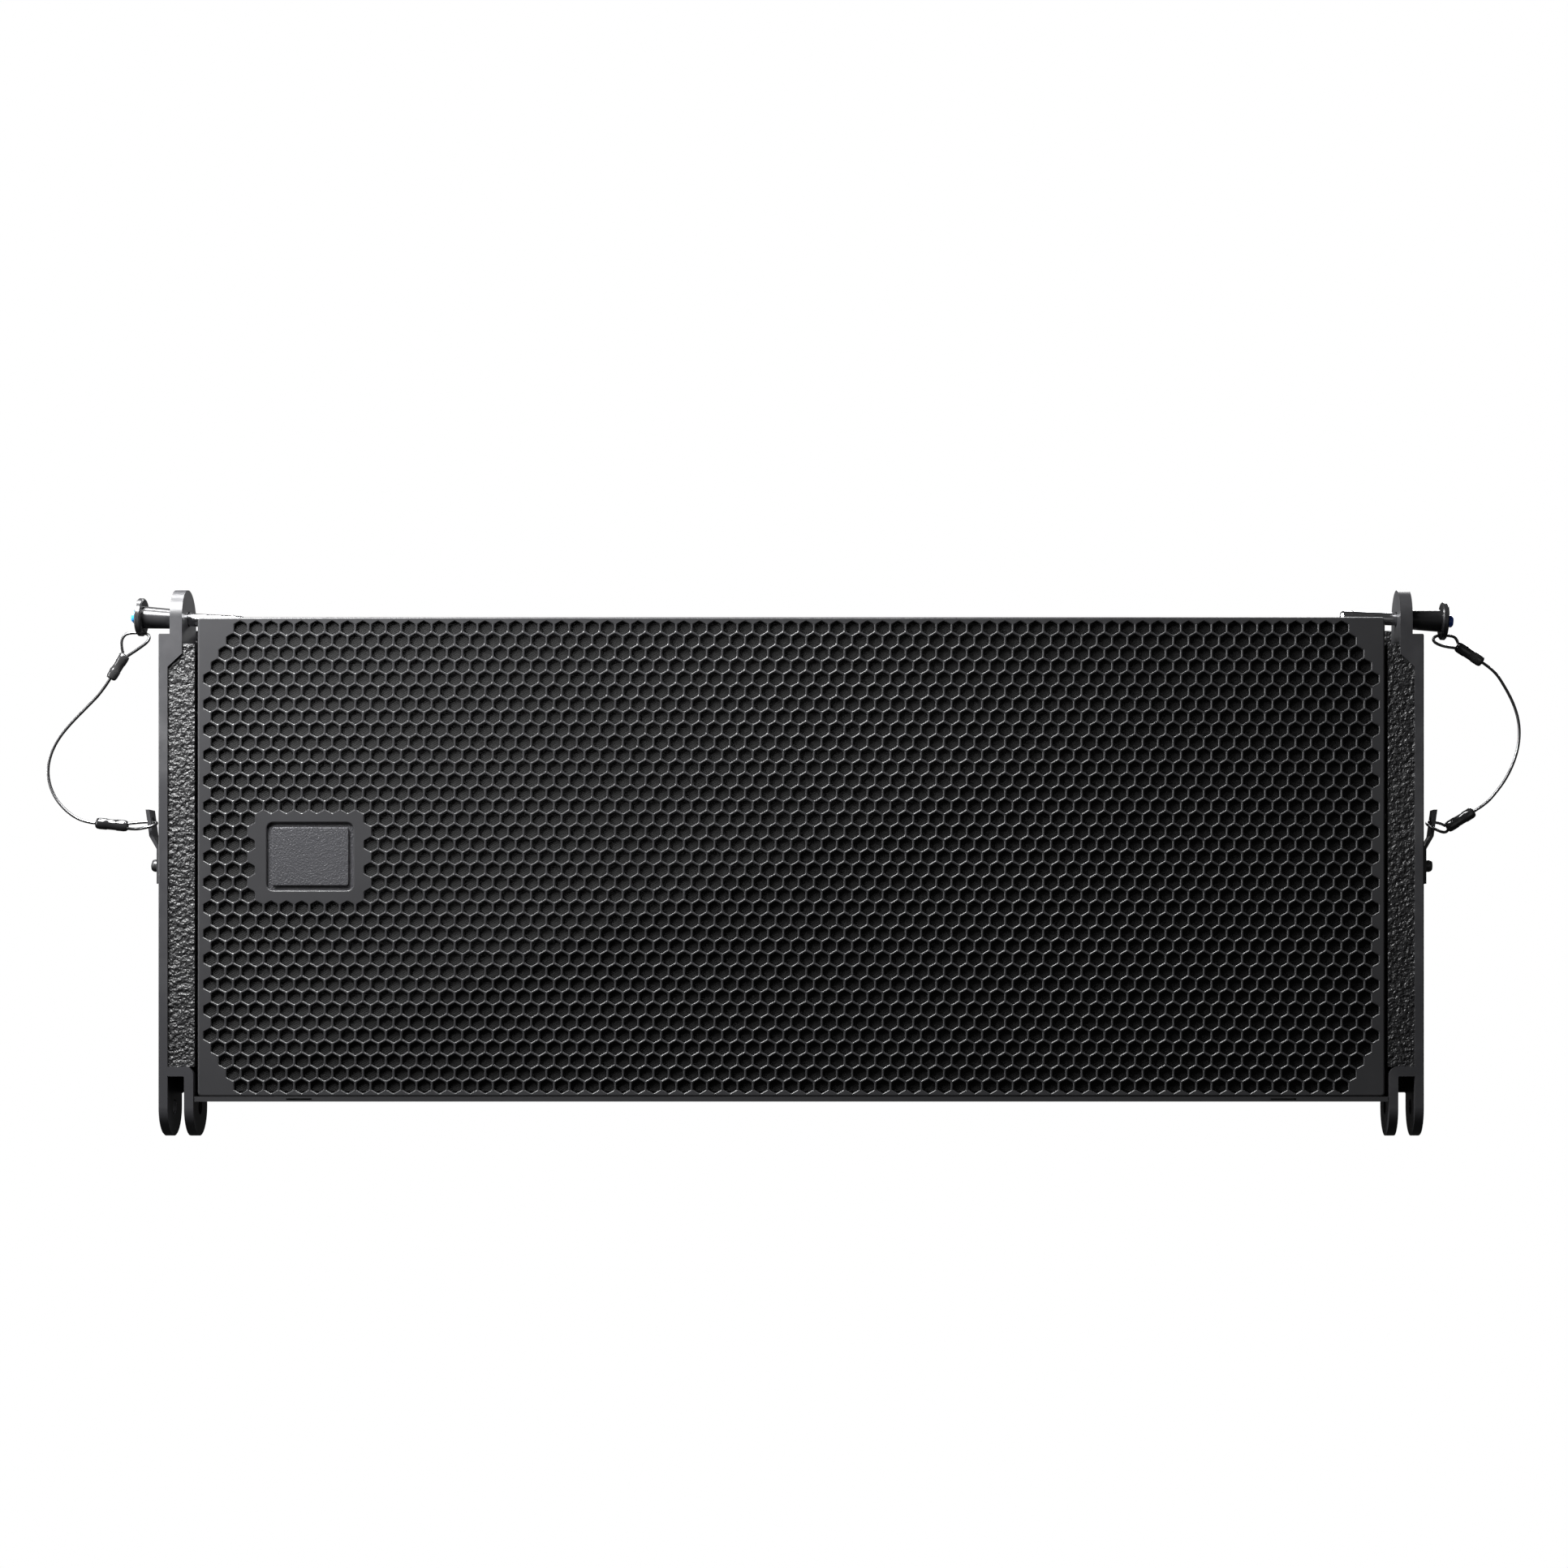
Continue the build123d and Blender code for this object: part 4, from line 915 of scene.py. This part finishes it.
def holds_eyelet(spot):
    return abs(spot[2] - EYELET_Z) <= NEAR and spot[1] <= 0


stand_screws("rigging_screws", 0, head_h=3.0 * MM, shank_l=14.5 * MM, head_r=4 * MM,
             keep=lambda spot: not holds_eyelet(spot))
stand_screws("rigging_screws", 0, head_h=3.6 * MM, shank_l=16.3 * MM, head_r=3.1 * MM,
             keep=holds_eyelet)
stand_screws("rear_bracket_screws", 1, head_h=3.5 * MM, shank_l=17 * MM, head_r=4.5 * MM,
             keep=lambda spot: True)

# %% [markdown]
# ## Acoustic cloth behind the holes
# The real grille has a sheet of foam behind it, covered with a ribbed cloth. Each hole shows a
# little of its fine slanting ribs. The cloth is one thin slab that reaches under the folded edge of
# the tray. Its threads are finer than a millimetre, so they are drawn in the finish.

# %% Cloth
RIB = 0.62 * MM
CLOTH_GAP = 0.15 * MM
CLOTH_X = 288.8 * MM
CLOTH_CORNER_R = 2.0 * MM
EDGE_R = 1.2 * MM
foam_low, foam_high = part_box("grille_foam")


def pillow_ring(inset, y):
    """One ring of the cloth's edge at a depth."""
    outline = rounded_outline(-CLOTH_X + inset, CLOTH_X - inset, foam_low[2] + inset,
                              foam_high[2] - inset, CLOTH_CORNER_R)
    return [Vector((x, y, z)) for x, z in outline]


cloth_front = foam_low[1] + CLOTH_GAP
cloth = strips("acoustic_cloth", [
    pillow_ring(EDGE_R, cloth_front), pillow_ring(EDGE_R * 0.3, cloth_front + EDGE_R * 0.3),
    pillow_ring(0, cloth_front + EDGE_R), pillow_ring(0, foam_high[1])], closed=True)
tidy_normals(cloth)
shade(cloth, 50)
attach(cloth, "root")
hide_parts("grille_foam")


def cloth_look():
    """Nearly black threads on the slant, crossed by faint ones the other way."""
    look = bpy.data.materials.new("grille_cloth")
    look.use_nodes = True
    tree = look.node_tree
    shader = tree.nodes["Principled BSDF"]
    shader.inputs["Specular IOR Level"].default_value = 0.25
    shader.inputs["Roughness"].default_value = 0.7
    place = tree.nodes.new("ShaderNodeTexCoord")
    parts = tree.nodes.new("ShaderNodeSeparateXYZ")
    wire(tree, place.outputs["Object"], parts.inputs["Vector"])
    shake = noise(tree, place.outputs["Object"], 700.0, 2.0, 0.5)
    turn = 2 * math.pi / RIB
    slant = maths(tree, "ADD", maths(tree, "MULTIPLY", parts.outputs["X"], turn * 0.34),
                  maths(tree, "MULTIPLY", parts.outputs["Z"], turn * 0.94))
    rib = maths(tree, "MULTIPLY_ADD", maths(tree, "SINE", maths(
        tree, "MULTIPLY_ADD", shake, 2.2, slant)), 0.5, 0.5)
    cross = maths(tree, "ADD", maths(tree, "MULTIPLY", parts.outputs["X"], turn * 0.9),
                  maths(tree, "MULTIPLY", parts.outputs["Z"], turn * -0.3))
    thread = maths(tree, "MULTIPLY_ADD", maths(tree, "SINE", cross), 0.5, 0.5)
    height = maths(tree, "MULTIPLY", rib, maths(tree, "MULTIPLY_ADD", thread, 0.5, 0.5))
    mix = tree.nodes.new("ShaderNodeMix")
    mix.data_type = "RGBA"
    mix.inputs["A"].default_value = (0.002, 0.002, 0.002, 1)
    mix.inputs["B"].default_value = (0.010, 0.010, 0.0105, 1)
    wire(tree, height, mix.inputs["Factor"])
    wire(tree, mix.outputs["Result"], shader.inputs["Base Color"])
    relief = tree.nodes.new("ShaderNodeBump")
    relief.inputs["Strength"].default_value = 0.9
    relief.inputs["Distance"].default_value = 0.3 * MM
    wire(tree, height, relief.inputs["Height"])
    wire(tree, relief.outputs["Normal"], shader.inputs["Normal"])
    return look


use_material(cloth, cloth_look())
